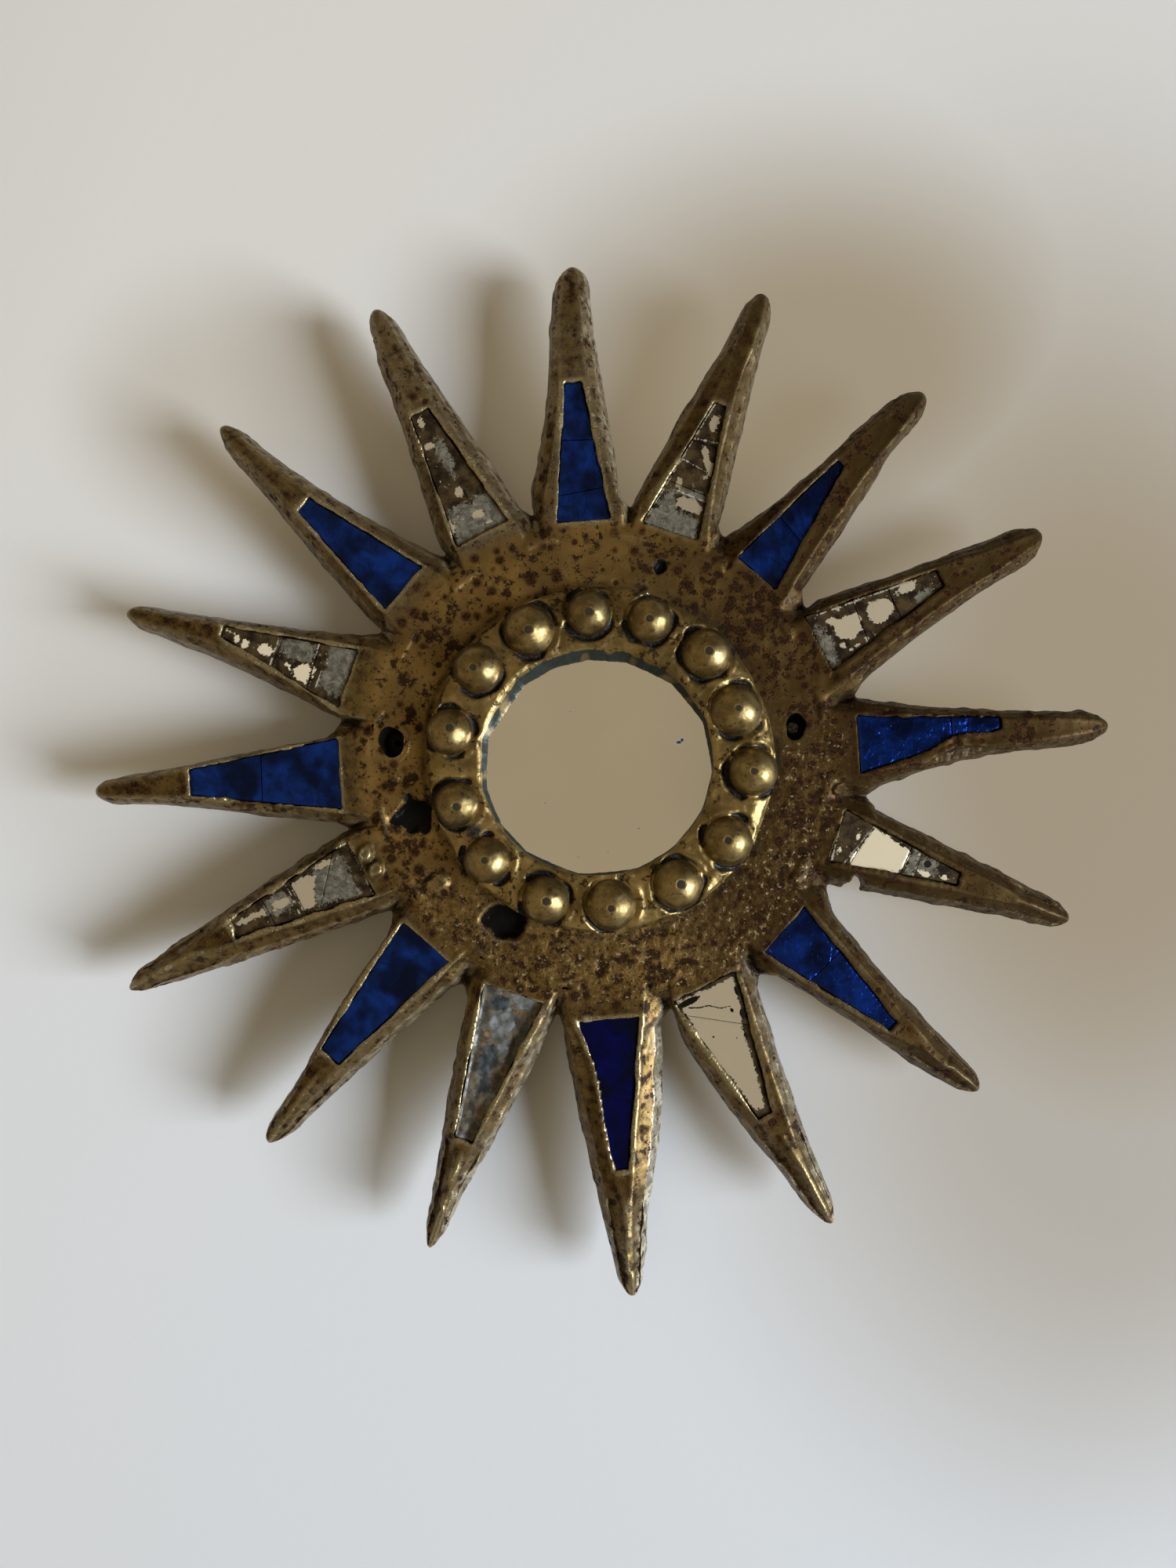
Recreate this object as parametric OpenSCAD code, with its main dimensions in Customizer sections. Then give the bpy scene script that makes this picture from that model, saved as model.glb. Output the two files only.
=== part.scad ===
// Sunburst wall mirror: a small round mirror in a beaded collar, on a cast hub
// that carries sixteen hand-made rays with glass let into them.
// Everything is drawn lying on its back, with x to the right, y up the wall and
// z out of the wall, and is then stood up: the front faces -Y and +Z is up.
// The origin is on the wall, behind the middle of the mirror.

/* [Rays] */
// Middle of the mirror to the tip of an even ray
star_r = 122.3; // [114:0.1:134]
// Middle to the corners of the hub, where the hub meets two rays
hub_corner_r = 55.5; // [53:0.5:57]
// Middle to the bottom of the notch between two rays
valley_r = 63; // [61:0.5:68]
// Width of the raised rim beside the glass
rim_w = 1.4; // [1:0.1:2.5]
// How far a ray's side leans out from its rim down to its foot
wall_run = 3.3; // [2:0.1:3.8]
// The same lean at the tip
tip_wall_run = 2; // [1.2:0.1:2.8]
// Least lean of a side, where a ray is at its most uneven
wall_run_least = 0.7; // [0.4:0.1:1.2]
// Height of the upright strip along a ray's foot
foot_h = 1.5; // [0.8:0.1:2.5]
// Width of the crest beyond the glass
crest_w = 3.8; // [2.5:0.1:5]
// Beyond the outer end of the glass to where the crest is that wide
crest_run = 11; // [8:0.5:13]
// Width of the crest at the tip
tip_crest_w = 2; // [1.2:0.1:3]
// Length of the rounded end of a ray
tip_round = 5; // [3:0.5:7]
// How far the rims stand above the hub
rim_rise = 0.6; // [0.2:0.1:1.5]
// How far the crest drops towards the tip
tip_drop = 2.4; // [0:0.2:4]
// How far the foot lifts towards the tip
tip_lift = 1.2; // [0:0.2:2.5]
// Open seam between the feet of two rays
ray_gap = 0.1; // [0.05:0.05:0.4]

/* [Glass in the rays] */
// Middle of the mirror to the inner end of the glass
inlay_start = 60.5; // [59:0.5:63]
// Length of the glass
inlay_len = 33.5; // [28:0.5:36]
// Width of the glass at its inner end
inlay_root_w = 14; // [12:0.2:15]
// Width of the glass at its outer end
inlay_tip_w = 3.6; // [2.8:0.1:4.4]
// Thickness of the glass
glass_t = 2.2; // [1.5:0.1:3]
// How far the glass lies below the rims
glass_sink = 0.6; // [0.2:0.1:1.2]
// Room round the glass in its pocket
inlay_gap = 0.3; // [0.15:0.05:0.5]
// Width of a crack in the glass
crack_w = 0.2; // [0.1:0.05:0.4]
// Thickness of the cement under the glass
cement_t = 0.4; // [0.2:0.1:0.8]
// Thickness of the cement in the ray that has lost its glass
bare_cement_t = 1.6; // [0.8:0.1:2.4]
// How far the chip in one ray's side reaches along the ray
chip_len = 4; // [2:0.5:6]
// Middle of the mirror to the inner end of that chip
chip_start = 66.4; // [64:0.2:70]
// How deep the chip goes into the side, from its foot
chip_depth = 3.6; // [2:0.2:4]

/* [Hub and backing] */
// Thickness of the hub
hub_t = 9; // [8:0.5:14]
// Radius of the backing disc that the hub and the feet of the rays lie on
backing_r = 58; // [55:0.5:59]
// Thickness of the backing disc
backing_t = 8.5; // [7:0.5:12]
// Radius of the felt pad
pad_r = 54; // [40:0.5:54.5]
// Thickness of the felt pad, which lies against the wall
pad_t = 1.5; // [1.2:0.1:3]

/* [Mirror and collar] */
// Radius of the mirror glass
mirror_r = 33; // [29:0.5:36]
// Thickness of the mirror glass
mirror_t = 3; // [2:0.5:4]
// Room round the mirror in the hub
mirror_gap = 0.4; // [0.2:0.1:1]
// Radius of the opening in the collar
sight_r = 26.5; // [22:0.5:28]
// Outer radius of the collar
collar_r = 42.4; // [40:0.2:44]
// Thickness of the collar
collar_t = 4; // [3:0.5:6]
// Rounding of the collar's front edges
collar_round = 1.4; // [0.6:0.1:2]
// Middle of the mirror to the middle of a bead
bead_ring_r = 35.4; // [34:0.2:36]
// Radius of a bead where it sits on the collar
bead_r = 6.1; // [4:0.1:6.5]
// Height of a bead
bead_h = 4.3; // [2.5:0.1:5.5]

/* [Fixings] */
// Radius of the two fixing holes in the hub
fixing_hole_r = 2.4; // [2:0.1:3]
// Middle of the mirror to the open fixing hole
open_hole_at = 50.4; // [48:0.2:51]
// Height of the lip round the open hole
lip_h = 0.8; // [0.4:0.1:1.2]
// Width of the lip round the open hole
lip_w = 1.4; // [0.8:0.1:1.8]
// Middle of the mirror to the fixing hole that still has its nail
nailed_hole_at = 47.4; // [46:0.2:50]
// Depth of that hole down to the nail's seat
nail_seat_depth = 5.5; // [3:0.5:6.5]
// Radius of the nail's head
nail_head_r = 1.5; // [1.3:0.1:1.8]
// Height of the nail's head
nail_head_h = 0.9; // [0.5:0.1:1.5]
// Radius of the nail's shank
nail_r = 0.8; // [0.6:0.05:1]
// How far the nail goes into the backing
nail_bite = 5; // [3:0.5:6]
// Room round the nail's shank in the hub
nail_gap = 0.15; // [0.1:0.05:0.3]

/* [Hanging plate] */
// Height of the hanging hole above the middle
hang_up = 32; // [20:1:38]
// Width of the plate
hang_w = 22; // [18:1:24]
// Height of the plate
hang_h = 10; // [9:0.5:14]
// Thickness of the plate
hang_t = 1.1; // [0.6:0.1:1.2]
// Radius of the hanging hole
hang_hole_r = 2.5; // [1.8:0.1:3]
// Radius of the pocket behind the hanging hole
hang_pocket_r = 4.5; // [3.5:0.5:6]
// Depth of that pocket in the backing
hang_pocket_d = 5; // [3:0.5:6]
// Room round the plate in the felt
hang_gap = 0.8; // [0.3:0.1:1.5]
// Middle of the plate to each of its screws
hang_screw_at = 8; // [7:0.5:8.5]
// Radius of those screws' shanks
hang_screw_r = 0.9; // [0.7:0.1:1.1]
// Radius of their heads, let into the plate
hang_head_r = 1.7; // [1.3:0.1:1.9]
// How far those screws go into the backing
hang_screw_bite = 5; // [3:0.5:6]

/* [Hidden] */
ray_total = 16;
ray_step = 360 / ray_total;
bead_total = 14;
// Small overlap that lets a cut run clear of a face
clear = 1;
$fn = 96;

// Levels above the wall
backing_z = pad_t;
hub_z = backing_z + backing_t;
face_z = hub_z + hub_t;
rim_z = face_z + rim_rise;
glass_z = rim_z - glass_sink - glass_t;
pocket_z = glass_z - cement_t;
mirror_z = face_z - mirror_t;
rebate_z = mirror_z - cement_t;

// Where along a ray its unevenness is given, as shares of its length from the hub
UNEVEN_AT = [0.16, 0.46, 0.77];

// The piece is hand made and no two rays are alike. The tables give how each ray
// departs from the even one, in millimetres, clockwise from the top ray. Across a
// ray, left is minus and right is plus, seen with the ray pointing up.

// Reach of the tip, how far it bends sideways, and how much each side of it widens
TIP = [
    [-1.5, 1.1, 1.2], [-1.7, 1.4, 0.4], [-3.6, 0.3, 0.8], [-2, -1.4, 0.9],
    [0.9, -0.2, 0.5], [-2.9, 0.4, 0.1], [-1.3, 0, -0.2], [2.4, -0.2, -0.6],
    [7.3, 1.2, -0.4], [2.5, 1.6, -1], [0.5, -0.1, -0.5], [5.2, 1.5, -0.7],
    [1.1, 0.7, -0.1], [-1.2, -2.5, -0.2], [1.1, 0.3, -0.3], [1.4, -0.5, -0.1]
];

// The notch clockwise of each ray: turn in degrees, and reach
NOTCH = [
    [-0.5, -0.8], [-0.9, -0.5], [1.1, -0.3], [1, 1.4],
    [0.2, 2.5], [-1.1, -0.1], [1, 2.5], [-1.1, -0.3],
    [2.2, -0.1], [1.6, 1.5], [1.7, -0.3], [-0.4, 0.5],
    [1.6, 1.5], [0.8, -0.7], [0.8, 0], [0, -0.8]
];

// Foot of the left and right side, near the hub, halfway and near the tip
FOOT = [
    [[-2.2, -0.2, -0.9], [-1.7, -0.3, 0.7]], [[-1.4, -0.7, 0.6], [-1.9, -0.4, 0.8]],
    [[-1.1, 0, -1.3], [-1.3, -0.7, -0.8]], [[-0.9, -1.1, -2.1], [0.3, -0.8, -0.6]],
    [[0.3, 0.5, -0.3], [0.7, -1.4, -0.1]], [[0.3, 0.2, -0.2], [-0.9, -0.2, 0]],
    [[1.1, 1.5, 0.5], [0.7, 0.3, 1.3]], [[0.9, 1, 0.6], [1.9, 2.7, 1]],
    [[0.3, -1.4, 0.6], [2.7, 3.4, 2.6]], [[1.8, 1, 2.5], [1.4, 1.9, 1.6]],
    [[1.8, 1.4, 0.5], [0.3, 1.1, 0]], [[1.4, 0.7, 1], [1.2, 2.2, 2.2]],
    [[0.1, 0.5, 1], [-0.7, 0.2, 0.7]], [[0.5, 0.1, -1.2], [-0.3, -1.7, -2.3]],
    [[-0.2, -0.6, -0.3], [0.4, -0.9, -0.7]], [[-1.3, -1, -1.4], [-1.1, -0.5, -0.3]]
];

// Rim of the left and right side, at the same three places
RIM = [
    [[-1, 0, -1.3], [0.5, -0.7, 0.5]], [[-1, 1.7, 0.4], [-1.6, -1.3, 1.1]],
    [[0.5, -1.4, -1.6], [-1, -0.7, 0.5]], [[-1, -2.3, -1.8], [0.3, -0.5, 0]],
    [[0.6, 0.1, -1.1], [-0.1, 0, 0.6]], [[0.6, 0.4, 0.6], [-1.8, -1.1, -0.6]],
    [[1.9, 1.4, 1.3], [1.6, 1.8, -0.7]], [[1, 1.2, 0.7], [2.5, 2.1, -0.7]],
    [[2.1, 1.7, 1.9], [2.7, 0.7, -0.3]], [[1.5, 2.3, 2.6], [1.6, 1.8, -0.4]],
    [[2.7, 1.9, 1.4], [2.7, 3, 0.9]], [[2.3, 2.1, 2.4], [1.7, 2.7, 1.7]],
    [[-0.2, 0.4, 0.1], [1.8, 2.2, 1.7]], [[-0.9, 0.2, -1.5], [-0.6, -0.6, -1.5]],
    [[0.3, -0.1, -0.4], [-0.7, -0.7, -0.4]], [[-0.7, -1, -1.2], [-1.3, -0.9, -0.7]]
];

// Glass: inner and outer end along the ray, then the left and right corner of its
// inner end, then those of its outer end
INLAY = [
    [[-2.8, -3], [0.5, -0.7], [-0.5, -0.3]], [[-3, -4], [-1.5, -1.7], [0.4, -0.3]],
    [[-2, -2.5], [0, -2.3], [-2.4, -4.3]], [[-1.2, -2], [-1.8, -1.3], [-3, -2.6]],
    [[1.5, 1.8], [0.8, 0.3], [-1.7, -3]], [[-1, -4], [-0.3, -1.5], [0.3, -0.8]],
    [[-0.7, 0.2], [1.6, 1.8], [2.7, 1.4]], [[-0.9, -0.7], [0.7, 2.8], [2.8, 2.4]],
    [[1.5, 4], [2, 2.6], [2, 1.2]], [[-0.9, 2.4], [1.6, 2.3], [1.8, 2.4]],
    [[-0.1, 2], [2.6, 3.1], [1.2, 2.9]], [[2.5, 3], [2.2, 2.3], [2.5, 3.2]],
    [[2.2, 4.7], [-0.5, 2.3], [0.1, 2.4]], [[3.3, 2], [-1.3, -0.8], [1, -0.3]],
    [[2.4, 0.2], [0.3, -0.4], [-1, -0.5]], [[0.9, 0.2], [-1, -1.4], [-2.3, -1.5]]
];

// Cracks across the glass: how far out each one meets the left and the right edge,
// as a share of the glass's length
CRACKS = [
    [[0.19, 0.23], [0.59, 0.58]], [[0.35, 0.33], [0.69, 0.7]], [[0.42, 0.38]],
    [[0.36, 0.33], [0.63, 0.62]], [[0.66, 0.66], [0.78, 0.76]],
    [[0.24, 0.16], [0.58, 0.56], [0.67, 0.67]], [[0.39, 0.37]], [[0.38, 0.12]],
    [], [], [], [[0.4, 0.13], [0.49, 0.5], [0.72, 0.73]],
    [[0.53, 0.52]], [[0.27, 0.28], [0.57, 0.56]], [], []
];

// The ray that has lost its glass, and the ray with a chip in its right side
bare_ray = 9;
chipped_ray = 5;

// Beads clockwise from just left of the top: turn in degrees, distance and radius
first_bead = -26.5;
BEADS = [
    [1.4, -0.3, 0.3], [0, -0.6, -0.4], [-1.6, -0.4, -0.4], [-1.7, 0.1, 0.1],
    [-2.4, -1.3, 0.4], [-3.6, 0.7, 0.1], [-1.2, 0.3, 0.1], [-1.3, -0.7, 0.1],
    [0.7, -0.9, 0.3], [0.4, 0.3, -0.1], [1.6, 0.5, -0.2], [0.1, 0.3, -0.4],
    [2, 0.9, -0.2], [2.6, 0.8, 0.1]
];

// Bearings of the fixing holes, clockwise from the top
open_hole_bearing = 278.8;
nailed_hole_bearing = 84.3;

// Colours
gilt = [0.48, 0.37, 0.19];
worn_gilt = [0.4, 0.31, 0.17];
bright_gilt = [0.62, 0.5, 0.26];
blue = [0.05, 0.12, 0.5];
silver = [0.72, 0.68, 0.58];
mirror_tone = [0.8, 0.8, 0.78];
cement_tone = [0.55, 0.55, 0.52];
nail_tone = [0.3, 0.29, 0.25];
felt_tone = [0.17, 0.13, 0.1];
wood_tone = [0.36, 0.24, 0.14];
brass_tone = [0.7, 0.56, 0.27];

// The reading frame of the piece on the wall, and the place of one ray in it
module stand_up() {
    rotate([90, 0, 0]) children();
}

module on_bearing(bearing) {
    rotate([0, 0, -bearing]) children();
}

module on_ray(i) {
    on_bearing(i * ray_step) children();
}

function mix(a, b, t) = a + (b - a) * t;

function share(x, a, b) = min(1, max(0, (x - a) / (b - a)));

function eased(t) = t * t * (3 - 2 * t);

// A smooth curve through three values v that stand at the places p
function through(p, v, x) =
    v[0] * (x - p[1]) * (x - p[2]) / ((p[0] - p[1]) * (p[0] - p[2]))
    + v[1] * (x - p[0]) * (x - p[2]) / ((p[1] - p[0]) * (p[1] - p[2]))
    + v[2] * (x - p[0]) * (x - p[1]) / ((p[2] - p[0]) * (p[2] - p[1]));

// Side 0 of a ray is its left, side 1 its right
function sign_of(side) = side == 0 ? -1 : 1;

// The seam between two rays, as an angle from the middle line of ray i
function notch_of(i, side) = side == 0 ? (i + ray_total - 1) % ray_total : i;

function seam_angle(i, side) = sign_of(side) * ray_step / 2 + NOTCH[notch_of(i, side)][0];

function notch_reach(i, side) = valley_r + NOTCH[notch_of(i, side)][1];

function reach(i) = star_r + TIP[i][0];

// Share of a ray's length at the distance r from the middle, from the hub outwards
function along(i, r) = (r - hub_corner_r) / (reach(i) - hub_corner_r);

function uneven(row, side, f) = through(UNEVEN_AT, row[side], min(f, UNEVEN_AT[2]));

// Half the width of an even ray's top at the distance r from the middle
function even_rim(i, r) =
    r < inlay_start + inlay_len
    ? mix(inlay_root_w, inlay_tip_w, (r - inlay_start) / inlay_len) / 2 + rim_w
    : r < crest_start()
    ? mix(inlay_tip_w / 2 + rim_w, crest_w / 2, (r - inlay_start - inlay_len) / crest_run)
    : mix(crest_w, tip_crest_w, share(r, crest_start(), reach(i))) / 2;

function crest_start() = inlay_start + inlay_len + crest_run;

// Where the unevenness of a ray gives way to the bend of its tip
function tip_share(i, r) = share(along(i, r), UNEVEN_AT[2], 1);

function rim_edge(i, side, r) =
    sign_of(side) * even_rim(i, r)
    + mix(uneven(RIM[i], side, along(i, r)), TIP[i][1], tip_share(i, r));

// How far the foot stands out from the rim
function lean(i, r) =
    mix(wall_run, tip_wall_run, share(along(i, r), 0.6, 1)) + TIP[i][2] * tip_share(i, r);

function foot_edge(i, side, r) =
    sign_of(side) * (even_rim(i, r) + lean(i, r))
    + mix(uneven(FOOT[i], side, along(i, r)), TIP[i][1], tip_share(i, r));

// The mitre between two rays, which a foot never crosses
function mitre(i, side, r) =
    r * tan(seam_angle(i, side)) - sign_of(side) * ray_gap / 2;

function inner_of(side, a, b) = side == 0 ? max(a, b) : min(a, b);

// A point on the seam at the distance d from the middle
function seam_point(i, side, d) = [
    mitre(i, side, d * cos(seam_angle(i, side))),
    d * cos(seam_angle(i, side))
];

// Plan of one station: the points of the left and right foot
function seat_feet(i) = [for (s = [0, 1]) seam_point(i, s, hub_corner_r)];

function notch_feet(i) = [for (s = [0, 1]) seam_point(i, s, notch_reach(i, s))];

function feet_at(i, r) = [
    for (s = [0, 1]) [inner_of(s, foot_edge(i, s, r), mitre(i, s, r)), r]
];

// The point on the line between two feet that lies at u across the ray
function between(feet, u) = [
    u,
    mix(feet[0][1], feet[1][1], (u - feet[0][0]) / (feet[1][0] - feet[0][0]))
];

function held_rim(i, side, feet) =
    inner_of(
        side,
        rim_edge(i, side, feet[side][1]),
        feet[side][0] - sign_of(side) * wall_run_least
    );

function top_z(i, r) = rim_z - tip_drop * eased(tip_share(i, r));

function under_z(i, r) = hub_z + tip_lift * eased(tip_share(i, r));

// One cross-section of a ray, from the left foot over the top to the right foot.
// It shrinks by k about the middle of the tip, to round off the end.
shoulder_out = 0.62;
shoulder_up = 0.7;

function section(i, feet, low, high, k) =
    let (
        rims = [for (s = [0, 1]) between(feet, held_rim(i, s, feet))],
        waist = low + min(foot_h, (high - low) / 2),
        bend = mix(waist, high, shoulder_up),
        shoulders = [for (s = [0, 1]) mix(rims[s], feet[s], shoulder_out)],
        plan = [
            feet[0], feet[0], shoulders[0], rims[0],
            rims[1], shoulders[1], feet[1], feet[1]
        ],
        level = [low, waist, bend, high, high, bend, waist, low],
        middle = (low + high) / 2
    )
    [for (n = [0:7]) [
        mix(TIP[i][1], plan[n][0], k),
        plan[n][1],
        mix(middle, level[n], k)
    ]];

// How the stations are spread between the notch and the rounded end, and over it
BODY_AT = [0.03, 0.1, 0.2, 0.32, 0.44, 0.56, 0.68, 0.8, 0.9, 1];
ROUND_AT = [0.45, 0.75, 0.9, 0.98, 1];
// The last section is this share of a full one, so that the tip ends in a small flat
blunt = 0.12;

function body_r(i, g) =
    let (start = max(notch_reach(i, 0), notch_reach(i, 1)))
    mix(start, reach(i) - tip_round, g);

function ray_points(i) = concat(
    section(i, seat_feet(i), hub_z, face_z, 1),
    section(i, notch_feet(i), hub_z, rim_z, 1),
    [for (g = BODY_AT)
        let (r = body_r(i, g))
        each section(i, feet_at(i, r), under_z(i, r), top_z(i, r), 1)],
    [for (s = ROUND_AT)
        let (r = reach(i) - tip_round * (1 - s))
        each section(
            i, feet_at(i, r), under_z(i, r), top_z(i, r), max(blunt, sqrt(1 - s * s))
        )]
);

ring_n = 8;
station_n = 2 + len(BODY_AT) + len(ROUND_AT);

RAY_FACES = concat(
    [for (j = [0:station_n - 2], n = [0:ring_n - 1])
        let (a = j * ring_n + n, b = j * ring_n + (n + 1) % ring_n)
        each [[a, a + ring_n, b + ring_n], [a, b + ring_n, b]]],
    [for (n = [1:ring_n - 2]) [0, n, n + 1]],
    [for (n = [1:ring_n - 2])
        let (last = (station_n - 1) * ring_n)
        [last, last + n + 1, last + n]]
);

// The glass of ray i: ends along the ray, and the edge of one side at a share of it
function inlay_end(i, e) = inlay_start + e * inlay_len + INLAY[i][0][e];

function inlay_corner(i, side, e) =
    sign_of(side) * (e == 0 ? inlay_root_w : inlay_tip_w) / 2 + INLAY[i][1 + e][side];

function inlay_edge(i, side, t) = [
    mix(inlay_corner(i, side, 0), inlay_corner(i, side, 1), t),
    mix(inlay_end(i, 0), inlay_end(i, 1), t)
];

module pocket_plan(i) {
    polygon([
        inlay_edge(i, 0, 0) + [-inlay_gap, -inlay_gap],
        inlay_edge(i, 1, 0) + [inlay_gap, -inlay_gap],
        inlay_edge(i, 1, 1) + [inlay_gap, inlay_gap],
        inlay_edge(i, 0, 1) + [-inlay_gap, inlay_gap]
    ]);
}

module inlay_plan(i) {
    polygon([
        inlay_edge(i, 0, 0), inlay_edge(i, 1, 0), inlay_edge(i, 1, 1), inlay_edge(i, 0, 1)
    ]);
}

// One ray, with the pocket for its glass
module ray(i) {
    color(i % 2 == 0 ? gilt : worn_gilt)
    stand_up()
    on_ray(i)
    difference() {
        polyhedron(points = ray_points(i), faces = RAY_FACES, convexity = 4);
        translate([0, 0, pocket_z])
            linear_extrude(rim_z - pocket_z + clear)
                pocket_plan(i);
        if (i == chipped_ray) side_chip(i);
    }
}

// The place where the side of one ray has broken out, close to the hub
module side_chip(i) {
    out = foot_edge(i, 1, chip_start) + clear;
    deep = foot_edge(i, 1, chip_start) - chip_depth;
    translate([0, 0, hub_z - clear])
        linear_extrude(rim_z - hub_z + 2 * clear)
            polygon([
                [deep, chip_start],
                [out, chip_start - chip_len / 4],
                [out, chip_start + chip_len],
                [deep + chip_depth * 0.6, chip_start + chip_len],
                [deep + chip_depth * 0.15, chip_start + chip_len * 0.7]
            ]);
}

// The glass of one ray, in the pieces that its cracks leave
module inlay(i) {
    cuts = concat([[0, 0]], CRACKS[i], [[1, 1]]);
    last = len(cuts) - 2;
    color(i % 2 == 0 ? blue : silver)
    stand_up()
    on_ray(i)
    translate([0, 0, glass_z])
    linear_extrude(glass_t)
    for (n = [0:last]) {
        near = n == 0 ? 0 : crack_w / 2;
        far = n == last ? 0 : crack_w / 2;
        polygon([
            inlay_edge(i, 0, cuts[n][0]) + [0, near],
            inlay_edge(i, 1, cuts[n][1]) + [0, near],
            inlay_edge(i, 1, cuts[n + 1][1]) - [0, far],
            inlay_edge(i, 0, cuts[n + 1][0]) - [0, far]
        ]);
    }
}

// A bed of cement under every piece of glass, thicker where the glass is lost
module inlay_cement() {
    color(cement_tone)
    stand_up()
    for (i = [0:ray_total - 1])
        on_ray(i)
            translate([0, 0, pocket_z])
                linear_extrude(i == bare_ray ? bare_cement_t : cement_t)
                    inlay_plan(i);
}

// The hub: a plate with a flat side for each ray and a rebate for the mirror
function hub_corner(i) =
    let (bearing = (i + 0.5) * ray_step + NOTCH[i][0])
    hub_corner_r * [sin(bearing), cos(bearing)];

module fixing_place(bearing, at) {
    on_bearing(bearing) translate([0, at, 0]) children();
}

module hub() {
    color(gilt)
    stand_up()
    difference() {
        union() {
            translate([0, 0, hub_z])
                linear_extrude(hub_t)
                    polygon([for (i = [0:ray_total - 1]) hub_corner(i)]);
            fixing_place(open_hole_bearing, open_hole_at)
                translate([0, 0, hub_z + hub_t / 2])
                    cylinder(r = fixing_hole_r + lip_w, h = hub_t / 2 + lip_h);
        }
        translate([0, 0, rebate_z])
            cylinder(r = mirror_r + mirror_gap, h = face_z - rebate_z + clear);
        fixing_place(open_hole_bearing, open_hole_at)
            translate([0, 0, hub_z - clear])
                cylinder(r = fixing_hole_r, h = hub_t + lip_h + 2 * clear);
        fixing_place(nailed_hole_bearing, nailed_hole_at) {
            translate([0, 0, face_z - nail_seat_depth])
                cylinder(r = fixing_hole_r, h = nail_seat_depth + clear);
            translate([0, 0, hub_z - clear])
                cylinder(r = nail_r + nail_gap, h = hub_t);
        }
    }
}

// The nail that is left in one hole, driven through the hub into the backing
module fixing_nail() {
    color(nail_tone)
    stand_up()
    fixing_place(nailed_hole_bearing, nailed_hole_at) {
        translate([0, 0, face_z - nail_seat_depth])
            cylinder(r = nail_head_r, h = nail_head_h);
        translate([0, 0, hub_z - nail_bite])
            cylinder(r = nail_r, h = nail_bite + face_z - nail_seat_depth - hub_z + nail_head_h / 2);
    }
}

module mirror_cement() {
    color(cement_tone)
    stand_up()
    translate([0, 0, rebate_z])
        cylinder(r = mirror_r - mirror_gap, h = cement_t);
}

module mirror_glass() {
    color(mirror_tone)
    stand_up()
    translate([0, 0, mirror_z])
        cylinder(r = mirror_r, h = mirror_t);
}

// The collar, which lies on the hub and holds the mirror in by its edge
module collar() {
    half = collar_round / 2;
    color(bright_gilt)
    stand_up()
    translate([0, 0, face_z])
    rotate_extrude()
    polygon([
        [sight_r, 0],
        [collar_r, 0],
        [collar_r, collar_t - collar_round],
        [collar_r - half / 2, collar_t - half / 2],
        [collar_r - collar_round, collar_t],
        [sight_r + half, collar_t],
        [sight_r, collar_t - half]
    ]);
}

// One bead: the cap of a ball, bead_h high
module bead(r) {
    ball_r = (r * r + bead_h * bead_h) / (2 * bead_h);
    intersection() {
        translate([0, 0, bead_h - ball_r]) sphere(r = ball_r);
        cylinder(r = r + clear, h = bead_h + clear);
    }
}

module collar_beads() {
    color(bright_gilt)
    stand_up()
    for (n = [0:bead_total - 1])
        on_bearing(first_bead + n * 360 / bead_total + BEADS[n][0])
            translate([0, bead_ring_r + BEADS[n][1], face_z + collar_t])
                bead(bead_r + BEADS[n][2]);
}

// The backing disc, with pilot holes and a pocket behind the hanging hole
module backing_disc() {
    color(wood_tone)
    stand_up()
    difference() {
        translate([0, 0, backing_z]) cylinder(r = backing_r, h = backing_t);
        translate([0, hang_up, backing_z - clear])
            cylinder(r = hang_pocket_r, h = hang_pocket_d + clear);
        for (s = [-1, 1])
            translate([s * hang_screw_at, hang_up, backing_z - clear])
                cylinder(r = hang_screw_r, h = hang_screw_bite + clear);
        fixing_place(nailed_hole_bearing, nailed_hole_at) pilot_hole();
        fixing_place(open_hole_bearing, open_hole_at) pilot_hole();
    }
}

module pilot_hole() {
    translate([0, 0, hub_z - nail_bite]) cylinder(r = nail_r, h = nail_bite + clear);
}

// The felt over the back, with a window for the hanging plate
module felt_pad() {
    window = [hang_w + 2 * hang_gap, hang_h + 2 * hang_gap, pad_t + 2 * clear];
    color(felt_tone)
    stand_up()
    difference() {
        cylinder(r = pad_r, h = pad_t);
        translate([-window[0] / 2, hang_up - window[1] / 2, -clear]) cube(window);
    }
}

// The plate that hangs on a nail in the wall, screwed to the back of the backing
hang_z = backing_z - hang_t;

module hanging_plate() {
    color(brass_tone)
    stand_up()
    difference() {
        union() {
            translate([-hang_w / 2 + hang_h / 2, hang_up - hang_h / 2, hang_z])
                cube([hang_w - hang_h, hang_h, hang_t]);
            for (s = [-1, 1])
                translate([s * (hang_w - hang_h) / 2, hang_up, hang_z])
                    cylinder(d = hang_h, h = hang_t);
        }
        translate([0, hang_up, hang_z - clear])
            cylinder(r = hang_hole_r, h = hang_t + 2 * clear);
        for (s = [-1, 1])
            translate([s * hang_screw_at, hang_up, 0]) screw_shape(clear);
    }
}

// A screw through the plate: a flat head let in, then the shank
module screw_shape(extra) {
    translate([0, 0, hang_z - extra])
        cylinder(r = hang_head_r, h = hang_t / 2 + extra);
    translate([0, 0, hang_z])
        cylinder(r = hang_screw_r, h = hang_t + hang_screw_bite);
}

module hanging_screws() {
    color(brass_tone)
    stand_up()
    for (s = [-1, 1])
        translate([s * hang_screw_at, hang_up, 0]) screw_shape(0);
}

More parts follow.
